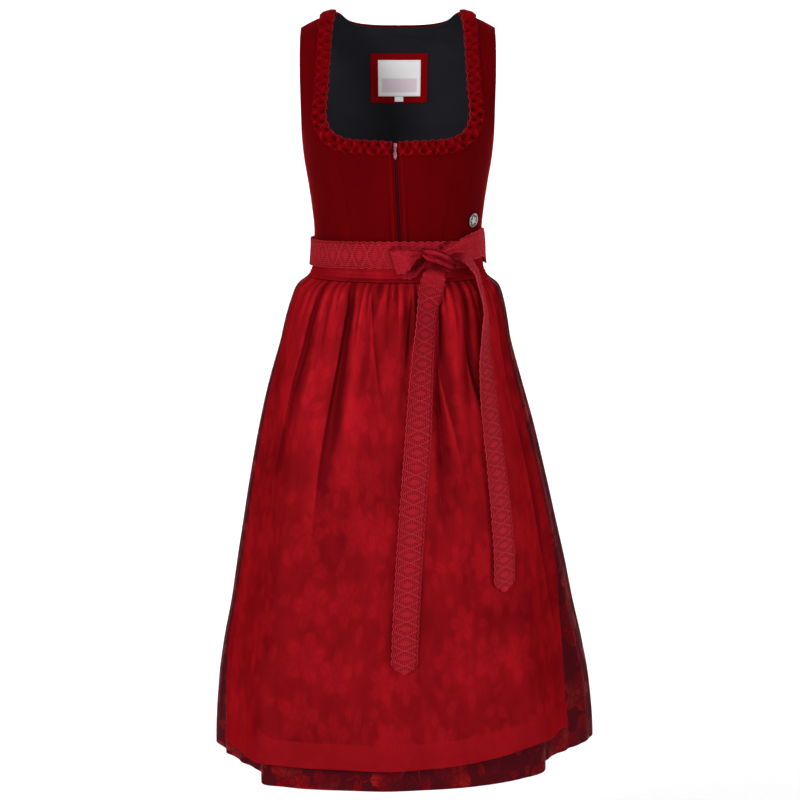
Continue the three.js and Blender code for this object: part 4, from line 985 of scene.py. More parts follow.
def zip_painted_shading(place):
    """Painted shade in two lines beside the slit and a painted highlight on the crest between them, as two
    numbers for the velvet.
    """
    away = np.abs(place[..., 0] - zip_line(place[..., 2]))
    below = smooth(-place[..., 2], -ZIP_TOP + 10, -ZIP_TOP + 34)
    groove_shade = 0.6 * np.exp(-((away - 11.6) / 1.1) ** 2) + 0.5 * np.exp(-((away - 5.0) / 0.9) ** 2)
    crest_highlight = 0.42 * np.exp(-((away - 8.4) / 1.7) ** 2)
    return below * groove_shade, below * crest_highlight


def bodice_uv(place):
    return np.stack([place[..., 0], place[..., 2]], axis=-1)


for label, side in (("left", -1), ("right", 1)):
    u, v = front_grid(side)
    place = bodice_point(u, v)
    princess = groove(np.abs(u) - mix(31, 37, smooth(place[..., 2], WAIST, -190)), 0.5, 0.5)
    princess = princess * smooth(-place[..., 2], 214, 240)
    relief = zip_ridge(place) + princess
    piece = layer(f"front_{label}", bodice_at, u, v, -VELVET, 0, relief, bodice_uv(place))
    # Painted shade in the zip's grooves and along the princess seam, and a painted highlight on the crest.
    groove_shade, crest_highlight = zip_painted_shading(place)
    mark(piece, "groove_shade", groove_shade - 0.6 * princess)
    mark(piece, "crest_highlight", crest_highlight)
    dress(piece, velvet, f"bodice_front_{label}")

# %% [markdown]
# ## Bodice sides and back
# A side piece runs from the shaping seam to the side seam, under the arm, and the back is one piece
# up to its high neck. They could be cut from one tube, but separate grids that share an edge keep
# every seam clean. Faint grooves in the back stand for its pressed seams.

# %% Bodice sides and back
SEAM_TURN = 0.12


def side_grid(side, columns=22, rows=56):
    start, end = row_at(SEAM_TOP), row_at(UNDERARM)
    s = np.linspace(0, 1, columns + 1)
    top_angle = mix(armhole_angle(start, "front_cut") + SEAM_TURN, 90, s)
    top_row = solve(np.full_like(s, start), np.full_like(s, end),
                    lambda row: armhole_angle(row, "front_cut") < top_angle)
    share = np.linspace(0, 1, rows + 1)[:, None]
    row = row_at(mix(WAIST, section(top_row, "height")[None, :], share))
    return side * mix(shaping_angle(row) + SEAM_TURN, 90, s[None, :]), row


def back_grid(limit, top, bottom, drop, columns, steps):
    shoulder_turn = armhole_angle(0.0, "back_cut")
    neck_turn = np.degrees(np.arcsin(NECK_HALF / bodice_half(0.0, "back_cut")))
    heights = bodice_sections["height"]
    stops = [h for h in heights if h >= bottom]
    stop = stations((stops if stops[-1] == bottom else stops + [bottom])[::-1], steps)[:, None]
    s = np.linspace(-1, 1, columns + 1)[None, :]
    edge_row = np.maximum(row_at(stop), SHOULDER_ROW)
    neck = np.maximum(0, 1 - (np.abs(s) / (neck_turn / shoulder_turn)) ** 3)
    height = stop + (top - drop * neck) * np.maximum((stop - bottom) / -bottom, 0)
    row = np.maximum(row_at(np.minimum(height, 0)), SHOULDER_ROW)
    turn = np.minimum(armhole_angle(edge_row, "back_cut"), 90)
    return 180 + s * limit * turn, row


for label, side in (("left", -1), ("right", 1)):
    u, v = side_grid(side)
    place = bodice_point(u, v)
    piece = layer(f"side_front_{label}", bodice_at, u, v, -VELVET, 0, uv=bodice_uv(place))
    dress(piece, velvet, f"bodice_side_{label}")

u, v = back_grid(1, 0, WAIST, BACK_NECK_DROP, 84, 5)
place = bodice_point(u, v)
back_seams = groove(np.abs(u - 180) - 36, 0.5, 0.45) * smooth(-place[..., 2], 60, 110)
back_seams = back_seams + groove(u - 180, 0.5, 0.45)
piece = layer("back", bodice_at, u, v, -VELVET, 0, back_seams, bodice_uv(place))
dress(piece, velvet, "bodice_back")

# %% [markdown]
# ## Lining, label and its patch
# The neck is open, so the inside of the back shows. Its lining is plain black cotton with a facing
# seam under the neck. A velvet patch is sewn on it to carry the woven label and the size tab. The
# label stays bare. All of it could be colour on one wall, but real layers throw their own thin
# shadows. What lies on the lining is made from the lining's own surface, moved out.

# %% Lining and label
LINING_OUT = -(VELVET + LOOSE + SEAM)
u, v = back_grid(0.95, -1.6, -300, BACK_NECK_DROP, 60, 5)
place = bodice_point(u, v)
seam_lines = 0.35 * np.exp(-((np.abs(u - 180) - 33) / 0.5) ** 2)
lip = place[..., 2] + 42 + 10 * (place[..., 0] / 80) ** 2
facing = smooth(lip, -0.8, 0.8)
under_lip = 0.6 * np.exp(-((lip + 1.6) / 1.1) ** 2)
sag = 0.9 * np.exp(-((place[..., 0] - 26 - place[..., 2] * 0.12) / 7) ** 2)
sag = sag * smooth(-place[..., 2], 90, 150)
inner = bodice_at(u, v, LINING_OUT - LINING - seam_lines - 0.7 * facing + under_lip - sag)
piece = wall("lining", bodice_at(u, v, np.full(u.shape, LINING_OUT)), inner, bodice_uv(place))
dress(piece, lining_cloth, "lining_back")

PATCH_THICK, LABEL_THICK = 1.5, 0.6
PATCH_OUT = LINING_OUT - LINING - EASE
LABEL_OUT = PATCH_OUT - PATCH_THICK - EASE / 2
PATCH_BOX, LABEL_BOX, TAB_BOX = (-41, 44, -66, -139), (-30, 34, -75, -129), (-5, 8, -129.6, -137)


def sewn_on(name, box, out, thick, pillow, count=24):
    left, right, top, bottom = box
    x = np.linspace(left, right, count + 1)[None, :]
    z = np.linspace(bottom, top, count + 1)[:, None]
    u, v = bodice_place(x, z, behind=True)
    edge = np.minimum(np.minimum(x - left, right - x), np.minimum(z - bottom, top - z))
    soft = pillow * smooth(edge, 0, 3.5) - pillow
    inner = bodice_at(u, v, out - thick - soft)
    outer = bodice_at(u, v, np.full(u.shape, out))
    uv = np.stack(np.broadcast_arrays(x, z), axis=-1)
    return wall(name, outer, inner, uv)


piece = sewn_on("label_backing", PATCH_BOX, PATCH_OUT, PATCH_THICK, 0.5)
dress(piece, patch_velvet, "label_patch")
piece = sewn_on("bare_label", LABEL_BOX, LABEL_OUT, LABEL_THICK, 0.15)
dress(piece, label_cloth, "label")
piece = sewn_on("blank_size_tab", TAB_BOX, LABEL_OUT, LABEL_THICK, 0.1, 6)
dress(piece, label_cloth, "size_tab")

# %% [markdown]
# ## The pinched ruffle
# A narrow velvet strip frames the neck. It is gathered crosswise and pinched so that small mouths
# open to either side by turns. Sculpting thirty of them would be slow, so two waves a half step
# apart raise the strip's two sides, and the strip follows the neck edge as a closed tube.

# %% Neck ruffle
RUFFLE, RUFFLE_PITCH = 20.0, 12.0


def neck_path(side):
    index = np.arange(0.04, len(neck_edge["x"]) - 1, 0.04)
    x = side * read_row(neck_edge, index, "x")
    z = read_row(neck_edge, index, "z")
    end_x = zip_line(ZIP_TOP) + side * SLIT_TOP
    share = np.linspace(0, 1, 8)[1:]
    x = np.append(x, mix(side * neck_edge["x"][-1], end_x, share))
    z = np.append(z, mix(neck_edge["z"][-1], ZIP_TOP, share))
    length = np.append(0, np.cumsum(np.hypot(np.diff(x), np.diff(z))))
    return x, z, length


def ruffle_relief(turn, w):
    """From about -1 in a pit to about 1 on a crest: a net of pinched folds with a pit in each mesh."""
    turn = turn + 0.6 * np.sin(turn * 0.37 + w * 0.25) + 0.4 * np.sin(turn * 0.71 + 1)
    w = w - RUFFLE / 4 + 1.5 * np.sin(turn * 0.53 + 0.5) + 0.7 * np.sin(turn * 1.3 + w * 0.5)
    slant = 2 * np.pi * w / RUFFLE
    rising, falling = np.abs(np.sin((turn + slant) / 2)), np.abs(np.sin((turn - slant) / 2))
    petals = 0.32 * np.cos(3 * turn + 0.4 * w) * np.sin(2 * slant + turn)
    curls = 0.3 * np.sin(5 * turn - w) * rising + 0.2 * np.sin(7 * turn + 2 * slant) * falling
    return 0.9 - 1.9 * (rising * falling) ** 0.9 + petals + curls


def ruffle(name, side, steps=20, across=26):
    path_x, path_z, length = neck_path(side)
    repeats = round(length[-1] / RUFFLE_PITCH)
    along = np.linspace(0, length[-1], repeats * steps + 1)
    x, z = np.interp(along, length, path_x), np.interp(along, length, path_z)
    ahead = np.minimum(along + 3, length[-1])
    behind = np.maximum(along - 3, 0)
    way = unit(np.stack([np.interp(ahead, length, line) - np.interp(behind, length, line)
                         for line in (path_x, path_z)], axis=-1))
    out = np.stack([-way[:, 1], way[:, 0]], axis=-1) * side
    turn = 2 * np.pi * np.arange(len(along)) / steps
    wave = np.cos(turn)[:, None]
    s = np.linspace(0, 1, across + 1)[None, :]
    near_end = (1 - smooth(along, 0, 9))[:, None]
    w = mix(near_end - 0.9 * wave, RUFFLE - near_end * 0.4 + 0.9 * wave, s)
    puff = (mix(1, 0.4, smooth(z, -40, -10)) * mix(1, 0.62, smooth(z, -165, -120)))[:, None]
    round_edge = 1 - (2 * np.abs(s - 0.5)) ** 8
    relief = ruffle_relief(turn[:, None], w)
    height = LOOSE + 0.2 + (1.9 + puff * (1.3 + 1.9 * relief)) * round_edge
    foot = np.full(w.shape, LOOSE)
    place_x = x[:, None] + out[:, None, 0] * w
    place_z = np.minimum(z[:, None] + out[:, None, 1] * w, -8)
    u, v = bodice_place(place_x, place_z)
    v = np.maximum(v, SHOULDER_ROW)
    crest = 2.4 * EASE * smooth(place_z, -45, -16) * mix(0.1, 1, smooth(w, 0, 9))
    uv = np.stack([w, np.broadcast_to(along[:, None], w.shape)], axis=-1)
    piece = wall(name, bodice_at(u, v, height + crest), bodice_at(u, v, foot + crest), uv)
    mark(piece, "edge", np.broadcast_to(s, w.shape), 0.5)
    # The relief number goes to the finish, which paints shade in the pits and highlights on the crests.
    return mark(piece, "relief", 0.5 + 0.5 * relief * mix(0.55, 1, puff), 0.5)


for label, side in (("left", -1), ("right", 1)):
    dress(ruffle(f"ruffle_{label}", side), ruffle_velvet, f"trim_{label}")

# %% [markdown]
# ## Bars along a path
# Zip teeth and stitches are the same job: a small rounded bar, repeated at a fixed pitch and turned
# to the path and to the way the cloth faces. An Array modifier on a curve would do it, but Geometry
# Nodes read the facing from the path's own points, so the bars lie flat on a curved body.

# %% Set along a path


def along_tree(name, material):
    """Geometry Nodes that set a small rounded bar along a path at a pitch."""
    tree = bpy.data.node_groups.new(name, "GeometryNodeTree")
    face = tree.interface
    face.new_socket("Path", in_out="INPUT", socket_type="NodeSocketGeometry")
    for title in ("Pitch", "Length", "Width", "Height"):
        face.new_socket(title, in_out="INPUT", socket_type="NodeSocketFloat")
    face.new_socket("Bars", in_out="OUTPUT", socket_type="NodeSocketGeometry")
    nodes, links = tree.nodes, tree.links
    given, result = nodes.new("NodeGroupInput"), nodes.new("NodeGroupOutput")

    def node(kind, inputs, **settings):
        new = nodes.new(kind)
        for key, value in settings.items():
            setattr(new, key, value)
        for key, value in inputs.items():
            if isinstance(value, bpy.types.NodeSocket):
                links.new(value, new.inputs[key])
            else:
                new.inputs[key].default_value = value
        return new

    curve = node("GeometryNodeMeshToCurve", {"Mesh": given.outputs["Path"]})
    spaced = node("GeometryNodeResampleCurve", {"Curve": curve.outputs[0], "Length": given.outputs["Pitch"]},
                  mode="LENGTH")
    facing = node("GeometryNodeInputNamedAttribute", {"Name": "facing"}, data_type="FLOAT_VECTOR")
    tangent = node("GeometryNodeInputTangent", {})
    upright = node("FunctionNodeAlignRotationToVector", {"Vector": facing.outputs[0]}, axis="Z")
    both = {"Rotation": upright.outputs[0], "Vector": tangent.outputs[0]}
    turned_bar = node("FunctionNodeAlignRotationToVector", both, axis="X", pivot_axis="Z")
    ball = node("GeometryNodeMeshUVSphere", {"Segments": 8, "Rings": 5, "Radius": 0.5})
    size = node("ShaderNodeCombineXYZ", {"X": given.outputs["Length"], "Y": given.outputs["Width"],
                                         "Z": given.outputs["Height"]})
    bar = node("GeometryNodeTransform", {"Geometry": ball.outputs["Mesh"], "Scale": size.outputs[0]})
    placed = node("GeometryNodeInstanceOnPoints", {"Points": spaced.outputs[0], "Instance": bar.outputs[0],
                                                   "Rotation": turned_bar.outputs[0]})
    real = node("GeometryNodeRealizeInstances", {"Geometry": placed.outputs[0]})
    painted = node("GeometryNodeSetMaterial", {"Geometry": real.outputs[0], "Material": material})
    links.new(painted.outputs[0], result.inputs[0])
    return tree


def bars_along(name, path, facing, material, slot, pitch, length, width, height):
    holder = new_object(name + "_path", path, [])
    holder.data.edges.add(len(path) - 1)
    pairs = np.stack([np.arange(len(path) - 1), np.arange(1, len(path))], axis=1)
    holder.data.edges.foreach_set("vertices", pairs.ravel())
    way = holder.data.attributes.new("facing", "FLOAT_VECTOR", "POINT")
    way.data.foreach_set("vector", facing.ravel())
    modifier = holder.modifiers.new("bars", "NODES")
    modifier.node_group = along_tree(name + "_tree", material)
    sizes = {"Pitch": pitch, "Length": length, "Width": width, "Height": height}
    for item in modifier.node_group.interface.items_tree:
        if item.in_out == "INPUT" and item.name in sizes:
            modifier[item.identifier] = sizes[item.name] * MM
    bpy.context.view_layer.update()
    ready = holder.evaluated_get(bpy.context.evaluated_depsgraph_get())
    mesh = bpy.data.meshes.new_from_object(ready)
    bpy.data.objects.remove(holder)
    mesh.name = name
    piece = bpy.data.objects.new(name, mesh)
    bpy.context.collection.objects.link(piece)
    mesh.shade_smooth()
    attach(piece, BODY)
    print(name, "has", len(mesh.polygons), "faces")
    return piece


print("a bar can be set along any path")

# %% [markdown]
# ## Zip tape and teeth
# A dark tape shows through a narrow slit, with the coil down its middle. The tape is a thin wall on
# the bodice's own surface, a little behind it, so it follows the body. The coil could be one long
# helix, but only the backs of its turns show, and a row of bars is lighter.

# %% Zip tape and teeth
TAPE_OUT, TAPE_HALF, COIL_HALF, COIL_RISE = -(VELVET + EASE), 11.0, 1.3, 1.6
z = np.linspace(ZIP_BOTTOM, ZIP_TOP - 3, 90)[:, None]
one_side = np.array([0.7, COIL_HALF, COIL_HALF + 0.4, 6, TAPE_HALF])
w = np.concatenate([-one_side[::-1], [0], one_side])
u, v = bodice_place(zip_line(z) + w[None, :], z)
rise = 0.55 * COIL_RISE * np.exp(-(w / 1.1) ** 2)[None, :]
uv = np.stack(np.broadcast_arrays(w[None, :], z), axis=-1)
piece = layer("tape", bodice_at, u, v, TAPE_OUT - LINING, TAPE_OUT, rise, uv)
dress(piece, tape_cloth, "zip_tape")

z = np.linspace(ZIP_BOTTOM + 2, -206, 200)
u, v = bodice_place(zip_line(z), z)
path = bodice_at(u, v, np.full(z.shape, TAPE_OUT + COIL_RISE * 0.62))
facing = unit(bodice_at(u, v, np.ones(z.shape)) - bodice_at(u, v, np.zeros(z.shape)))
bars_along("zip_teeth", path, facing, tape_cloth, "tape", 1.5, 0.95, 2.7, 1.1)

# %% [markdown]
# ## Stitches round the label
# A running stitch holds the patch and the label. It could be a texture, but real thread stands up
# from the cloth and catches the light, so the same tree sets a small bar for each stitch.

# %% Stitches round the label
STITCH = {"pitch": 3.0, "length": 2.1, "width": 0.45, "height": 0.35}
cream_thread = make_plain("label thread", (0.62, 0.5, 0.5), 0.7, 0.0006)
red_thread = make_plain("velvet thread", (0.16, 0.002, 0.006), 0.7, 0.0006)


def stitch_frame(name, box, inset, out, material, slot):
    left, right, top, bottom = np.array(box) + inset * np.array([1, -1, -1, 1])
    corners_x = np.array([left, right, right, left, left])
    corners_z = np.array([top, top, bottom, bottom, top])
    length = np.append(0, np.cumsum(np.hypot(np.diff(corners_x), np.diff(corners_z))))
    at = np.linspace(0, length[-1], 160)
    x, z = np.interp(at, length, corners_x), np.interp(at, length, corners_z)
    u, v = bodice_place(x, z, behind=True)
    path = bodice_at(u, v, np.full(x.shape, out))
    facing = unit(bodice_at(u, v, np.full(x.shape, -1.0)) - bodice_at(u, v, np.zeros(x.shape)))
    return bars_along(name, path, facing, material, slot, **STITCH)


on_patch, on_label = PATCH_OUT - PATCH_THICK - 0.05, LABEL_OUT - LABEL_THICK - 0.05
stitch_frame("patch_stitches", PATCH_BOX, 2.6, on_patch, red_thread, "velvet")
stitch_frame("label_stitches", LABEL_BOX, 1.4, on_label, cream_thread, "label")

# %% [markdown]
# ## Slider and pull
# The slider and its pull are small lacquered castings. They could be modelled again from boxes, but
# their packed shapes are right, so a copy of each is merged and given a fine bevel that catches the
# light. The pull rides on its own body, because it swings.

# %% Slider and pull
MERGE_WITHIN, FLAT_UNDER, BEVEL_OVER = 1e-6, math.radians(3), math.radians(40)


def eased_copy(node, name, material, body, width):
    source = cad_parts[node]
    mesh = source.data.copy()
    mesh.name = name
    mesh.transform(source.matrix_world)
    shape = bmesh.new()
    shape.from_mesh(mesh)
    bmesh.ops.remove_doubles(shape, verts=shape.verts, dist=MERGE_WITHIN)
    bmesh.ops.dissolve_limit(shape, angle_limit=FLAT_UNDER, verts=shape.verts, edges=shape.edges)
    shape.to_mesh(mesh)
    shape.free()
    mesh.materials.clear()
    mesh.materials.append(material)
    piece = bpy.data.objects.new(name, mesh)
    bpy.context.collection.objects.link(piece)
    bevel = piece.modifiers.new("eased edges", "BEVEL")
    bevel.width = width * MM
    bevel.segments = 2
    bevel.limit_method = "ANGLE"
    bevel.angle_limit = BEVEL_OVER
    mesh.shade_smooth()
    mesh.set_sharp_from_angle(angle=CREASE_ANGLE)
    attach(piece, body)
    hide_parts(node)
    return piece


eased_copy("zip_slider", "slider", lacquer, BODY, 0.12)
eased_copy("zip_pull", "pull_tab", lacquer, "pull", 0.18)
print("pull rides on its own body, so it swings")

# %% [markdown]
# ## Badge
# The badge is a small round of cast pewter: a rim, a sunk ground and a plain five-petalled flower.
# Booleans would leave hard edges, so each point's height is worked out from its ring and its turn,
# which gives the soft steps of a casting. The same height also darkens the hollows.

# %% Badge
PEWTER_HOLLOW, PEWTER_MIDDLE = (0.045, 0.042, 0.04), (0.34, 0.33, 0.31)
PEWTER_CREST = (0.62, 0.61, 0.58)
BADGE = {"x": 107, "z": -303, "radius": 10.5, "thick": 1.6, "rim": 0.9}


def tube_faces(rings, around):
    """Faces of a closed tube: its rings of points come first, then one point for each end."""
    faces = []
    for i in range(rings - 1):
        for j in range(around):
            k = (j + 1) % around
            faces.append((i * around + j, i * around + k, (i + 1) * around + k, (i + 1) * around + j))
    first_end, low = rings * around, (rings - 1) * around
    faces += [(first_end, (j + 1) % around, j) for j in range(around)]
    faces += [(first_end + 1, low + j, low + (j + 1) % around) for j in range(around)]
    return faces


def face_outward(piece):
    shape = bmesh.new()
    shape.from_mesh(piece.data)
    bmesh.ops.recalc_face_normals(shape, faces=shape.faces)
    shape.to_mesh(piece.data)
    shape.free()


def badge_relief(r, turn):
    share = r / BADGE["radius"]
    rim = BADGE["rim"] * np.exp(-((share - 0.9) / 0.055) ** 2) * (1 + 0.12 * np.cos(turn * 28))
    petal_edge = 0.52 + 0.13 * np.cos(5 * turn)
    dip = 1 - 0.3 * np.exp(-((share - 0.33) / 0.07) ** 2)
    petals = 1.1 * smooth(petal_edge - share, -0.03, 0.1) * dip
    veins = -0.25 * np.exp(-(np.sin(2.5 * turn) / 0.12) ** 2) * smooth(0.6 - share, 0, 0.2)
    heart = 0.7 * smooth(0.16 - share, -0.02, 0.06)
    leaf = 0.55 * smooth(np.cos(5 * turn + np.pi), 0.2, 0.7) * np.exp(-((share - 0.7) / 0.09) ** 2)
    return rim + petals + veins + heart + leaf


def make_badge(rings=34, around=120):
    u, v = bodice_place(BADGE["x"], BADGE["z"])
    foot = bodice_at(u, v, 0.0)
    out = bodice_at(u, v, 1.0) - foot
    side = unit(np.cross(out, [0.0, 0.0, 1.0]))
    up = np.cross(side, out)
    r = np.linspace(0, 1, rings)[:, None] * BADGE["radius"]
    turn = np.linspace(0, 2 * np.pi, around, endpoint=False)[None, :]
    height = BADGE["thick"] + badge_relief(r, turn) * smooth(BADGE["radius"] - r, -0.01, 0.5)
    base = foot + out * (SEAM + 0.5)

    def lift(radius, h):
        radius, h = np.broadcast_arrays(radius * np.ones_like(turn), h * np.ones_like(turn))
        away = np.cos(turn)[..., None] * side + np.sin(turn)[..., None] * up
        return base + radius[..., None] * away + h[..., None] * out

    top = lift(r[1:], height[1:])
    foot_ring = lift(np.array([[BADGE["radius"] - 0.4]]), 0.0)
    ends = np.stack([base + out * height[0, 0], base])
    vertices = np.concatenate([top.reshape(-1, 3), foot_ring.reshape(-1, 3), ends])
    piece = new_object("pewter_badge", vertices, tube_faces(rings, around))
    face_outward(piece)
    depth = badge_relief(r[1:], turn).ravel()
    return point_values(piece, "depth", np.append(depth, np.zeros(around + 2)))


def make_pewter_badge_finish():
    f = Finish("darkened pewter", Metallic=0.95, Roughness=0.36)
    wear_and_painted_light = f.noise(f.place(), 900.0, 3.0)
    tone = f.math("MULTIPLY_ADD", f.marked("depth"), 0.8, f.math("MULTIPLY", wear_and_painted_light, 0.25))
    f.colour(f.ramp(tone, (0.12, PEWTER_HOLLOW), (0.5, PEWTER_MIDDLE), (0.9, PEWTER_CREST)))
    return f.normal(f.bump(wear_and_painted_light, 0.00005)).material


dress(make_badge(), make_pewter_badge_finish(), "badge")

# %% [markdown]
# ## Skirt
# Two panels make the tube, joined at the side seams. The pleats swing a little unevenly, as pressed
# cloth does once it hangs. Cloth simulation would relax them too much, so their wave is a formula,
# and small ripples near the hem break its regularity.

# %% Skirt panels
SKIRT_CUT_WIDTH = 980.0


def skirt_ripple(bearing, height):
    low = smooth(-height, 700, 1090)
    return low * (1.1 * np.sin(np.radians(bearing) * 37 + height / 90)
                  + 0.7 * np.sin(np.radians(bearing) * 71 + 1.3 + height / 60))


def skirt_panel(name, start, end, columns, rows, node):
    bearing = np.linspace(start, end, columns + 1)[None, :]
    drop = np.linspace(0, 1, rows + 1)[:, None] ** 1.15
    height = mix(WAIST - EASE, HEM, drop)
    u, v = np.broadcast_arrays(bearing, height)
    ripple = skirt_ripple(u, v) * smooth(UNDER["bearing"] - np.abs(wrap(u)), 14, -2)
    outer = skirt_at(u, v, ripple)
    inner = skirt_at(u, v, ripple - BROCADE)
    uv = np.stack([u / 180 * SKIRT_CUT_WIDTH, v], axis=-1)
    piece = wall(name, outer, inner, uv)
    return dress(piece, brocade, node)


skirt_panel("skirt_front_panel", -90, 90, 300, 110, "skirt_front")
skirt_panel("skirt_back_panel", 90, 270, 340, 110, "skirt_back")

# %% [markdown]
# ## Apron folds
# The gathers are even where they are sewn, and lower down they join into fewer, softer folds.
# Simulated cloth would drop them anywhere, so one table places small folds and another crisp ones,
# which fall away at once on one side.

# %% Apron folds
small_folds = table(
    FOLD_COLUMNS, (-68, -69, -392, -520, 2.2, 3), (-52, -53, -392, -560, 2.4, -3),
    (-45, -47, -400, -640, 2.6, 3), (-38, -41, -392, -500, 2, 2.5), (-16, -18, -395, -600, 2, -3),
    (-3, -5, -392, -520, 2.2, -2.5), (3, 2, -392, -640, 2.4, 2.5), (8, 8, -400, -560, 2, -2.5),
    (14, 12, -392, -620, 1.8, -3), (31, 28, -400, -700, 1.8, 3), (39, 38, -395, -560, 2, 3),
    (49, 50, -392, -680, 2.2, 3.5), (54, 55, -400, -620, 2, -3), (66, 67, -395, -580, 2, 3))

crisp_folds = table(
    FOLD_COLUMNS, (-34, -38, -390, -830, 5.5, 6.5), (24, 33, -400, -700, 4, 6),
    (40.5, 52, -390, -790, 4.5, 6), (-18, -7, -392, -580, 3, 3), (-52, -60, -400, -700, 4, 4.5),
    (66, 74, -396, -1000, 3, 5), (9, 5, -392, -520, 2.5, 2.6))
SHARP, HEM_FLARE = 0.24, 3.0


def crisp_rise(bearing, height, wide=1.0, narrow=SHARP):
    """Folds that rise slowly on one side and drop at once on the other, from 0 to about 1 each."""
    rise = np.zeros(np.broadcast(bearing, height).shape)
    for top, foot, start, end, width, lift in fold_rows(crisp_folds):
        along = (start - height) / (start - end)
        away = bearing - mix(top, foot, np.clip(along, 0, 1))
        strength = smooth(along, -0.02, 0.08) * (1 - smooth(along, 0.4, 1))
        side = np.where(away < 0, wide, narrow) * width
        rise = rise + lift * strength * np.exp(-(away / side) ** 2)
    return rise


def apron_detail(bearing, height):
    slow = smooth(-height, 430, 620) * (1 - 0.55 * smooth(-height, 900, 1060))
    drift = (0.9 * np.sin(np.radians(bearing) * 13 + 0.6 + height / 310)
             + 0.3 * np.sin(np.radians(bearing) * 31 + height / 170))
    return fold_rise(small_folds, bearing, height) * 0.7 + crisp_rise(bearing, height) + slow * drift


print("folds placed by hand:", len(long_folds["top"]) + len(small_folds["top"]) + len(crisp_folds["top"]))

# %% [markdown]
# ## Apron
# The apron is one wide sheet, gathered into its band, with a deep hem turned up at its foot. The hem
# could be a second sheet, but a small step in the same wall looks alike and can't come apart. The
# height of the folds also paints light and shade into the satin: lighter on crests, darker in
# valleys and in a painted shadow beside each crisp fold.

# %% Apron sheet


def make_apron(columns=360, rows=120):
    band_foot = BAND_BOTTOM - SEAM
    s = np.linspace(0, 1, columns + 1)[None, :]
    share = np.linspace(0, 1, rows + 1)[:, None] ** 1.12
    hem_rows = [(HEM_BAND + 2.2, 0.0), (HEM_BAND, 0.8), (HEM_BAND / 2, 0.8), (5, 0.8), (1.2, 0.6), (0, 0.2)]

    def at(height_of):
        height = np.full(s.shape, band_foot)
        for _ in range(3):
            left = read(apron_edges, "height", height, "left")
            right = read(apron_edges, "height", height, "right")
            bearing = mix(left, right, s)
            height = height_of(read(apron_hem, "bearing", bearing, "height"))
        return bearing, height

    lines = [at(lambda foot, t=t: mix(band_foot, foot + HEM_BAND + 3, t)) + (0.0,) for t in share.ravel()]
    lines += [at(lambda foot, up=up: foot + up) + (lift,) for up, lift in hem_rows]
    u = np.concatenate([line[0] for line in lines])
    v = np.concatenate([line[1] for line in lines])
    lift = np.array([line[2] for line in lines])[:, None]
    foot = v - read(apron_hem, "bearing", u, "height")
    detail = apron_detail(u, v) + HEM_FLARE * smooth(30 - foot, 0, 30)
    outer = apron_at(u, v, detail + SATIN + lift)
    inner = apron_at(u, v, detail)
    uv = np.stack([(s - 0.5) * 900 + 0 * v, v], axis=-1)
    piece = mark(wall("apron_sheet", outer, inner, uv), "double", lift * np.ones_like(u) / 0.8)
    # Painted light and shade for the satin: lighter on fold and gather crests, darker in their valleys.
    folds = fold_rise(long_folds, u, v) / 11 + fold_rise(small_folds, u, v) / 8
    gathers = 1.3 * (gather_wave(u, v) - 0.45) * smooth(v, -455, -395)
    folds = folds + gathers * (1 + 0.5 * np.sin(u * 0.83 + 1))
    # A painted shadow just beside each crisp fold, and a little painted light on its crest.
    shadow = crisp_rise(u - 0.6, v, 0.05, 0.95) / 3.8 - crisp_rise(u, v) / 12
    return mark(piece, "relief", np.clip(folds - shadow, -1.4, 0.8))


dress(make_apron(), satin, "apron")

# %% [markdown]
# ## Apron band
# The band over the gathers is folded satin with fine tucks. Tucks could be extruded one by one, but
# a rounded wave down the band is even and cheap, with small puckers in each row. Its foot bends out
# to rest on the apron, so that no light passes between them.

# %% Apron band
TUCK_PITCH, TUCK_RISE, TUCK_TOP, LAP = 5.0, 0.45, -368.0, 1.2


def make_band(columns=240):
    z = np.concatenate([np.linspace(BAND_BOTTOM - LAP, -366, 47), np.linspace(-364, BAND_TOP, 8)])[:, None]
    angle = np.linspace(-76, 76, columns + 1)[None, :]
    u, v = np.broadcast_arrays(angle, row_at(z))
    flare = 1.2 * smooth(-z, -WAIST - 4, -WAIST + 6)
    step = (z - BAND_BOTTOM) / TUCK_PITCH
    tuck = np.abs(np.sin(np.pi * step)) ** 0.6
    pucker = 0.16 * np.sin(angle * 2.9 + np.floor(step) * 1.9)
    foot = smooth(z, BAND_BOTTOM - LAP, BAND_BOTTOM + 3)
    relief = BAND_CLOTH + (TUCK_RISE * tuck + pucker) * (z < TUCK_TOP) * foot
    outer = bodice_at(u, v, LOOSE + flare + relief)
    inner = bodice_at(u, v, LOOSE + flare + 0 * u)
    bearing = np.degrees(np.arctan2(outer[..., 0], -outer[..., 1]))
    on_apron = np.broadcast_to(np.minimum(z, BAND_BOTTOM - SEAM), bearing.shape)
    over_apron = apron_at(bearing, on_apron, SATIN + SEAM)
    laps = (1 - foot) * (1 - smooth(np.abs(u), 58, 70))
    outer[..., :2] = mix(outer, over_apron, laps[..., None])[..., :2]
    uv = np.stack(np.broadcast_arrays(angle * 3.2, z), axis=-1)
    return wall("tucked_band", outer, inner, uv)


dress(make_band(), band_satin, "apron_band")

# %% [markdown]
# ## Ribbon round the waist
# One jacquard ribbon goes round the waist. A bevelled curve would give it straight edges, but the
# real ones are woven in small scallops, so the wall's border rows move in and out along the length.

# %% Ribbon round the waist
SCALLOP, SCALLOP_DEPTH, RIBBON_WIDTH = 10.5, 2.3, 40.0
SASH_LOW = LOOSE + BAND_CLOTH + 1
# SASH_LIGHT is a painted light lift for the back and hip stretches.
SASH_RADIUS, SASH_STEP, SASH_LIGHT, PLAIN = 112.0, 1.7, 0.2, 0.6
ribbon_across = np.array([-1, -0.96, -0.82, -0.6, -0.3, 0, 0.3, 0.6, 0.82, 0.96, 1])


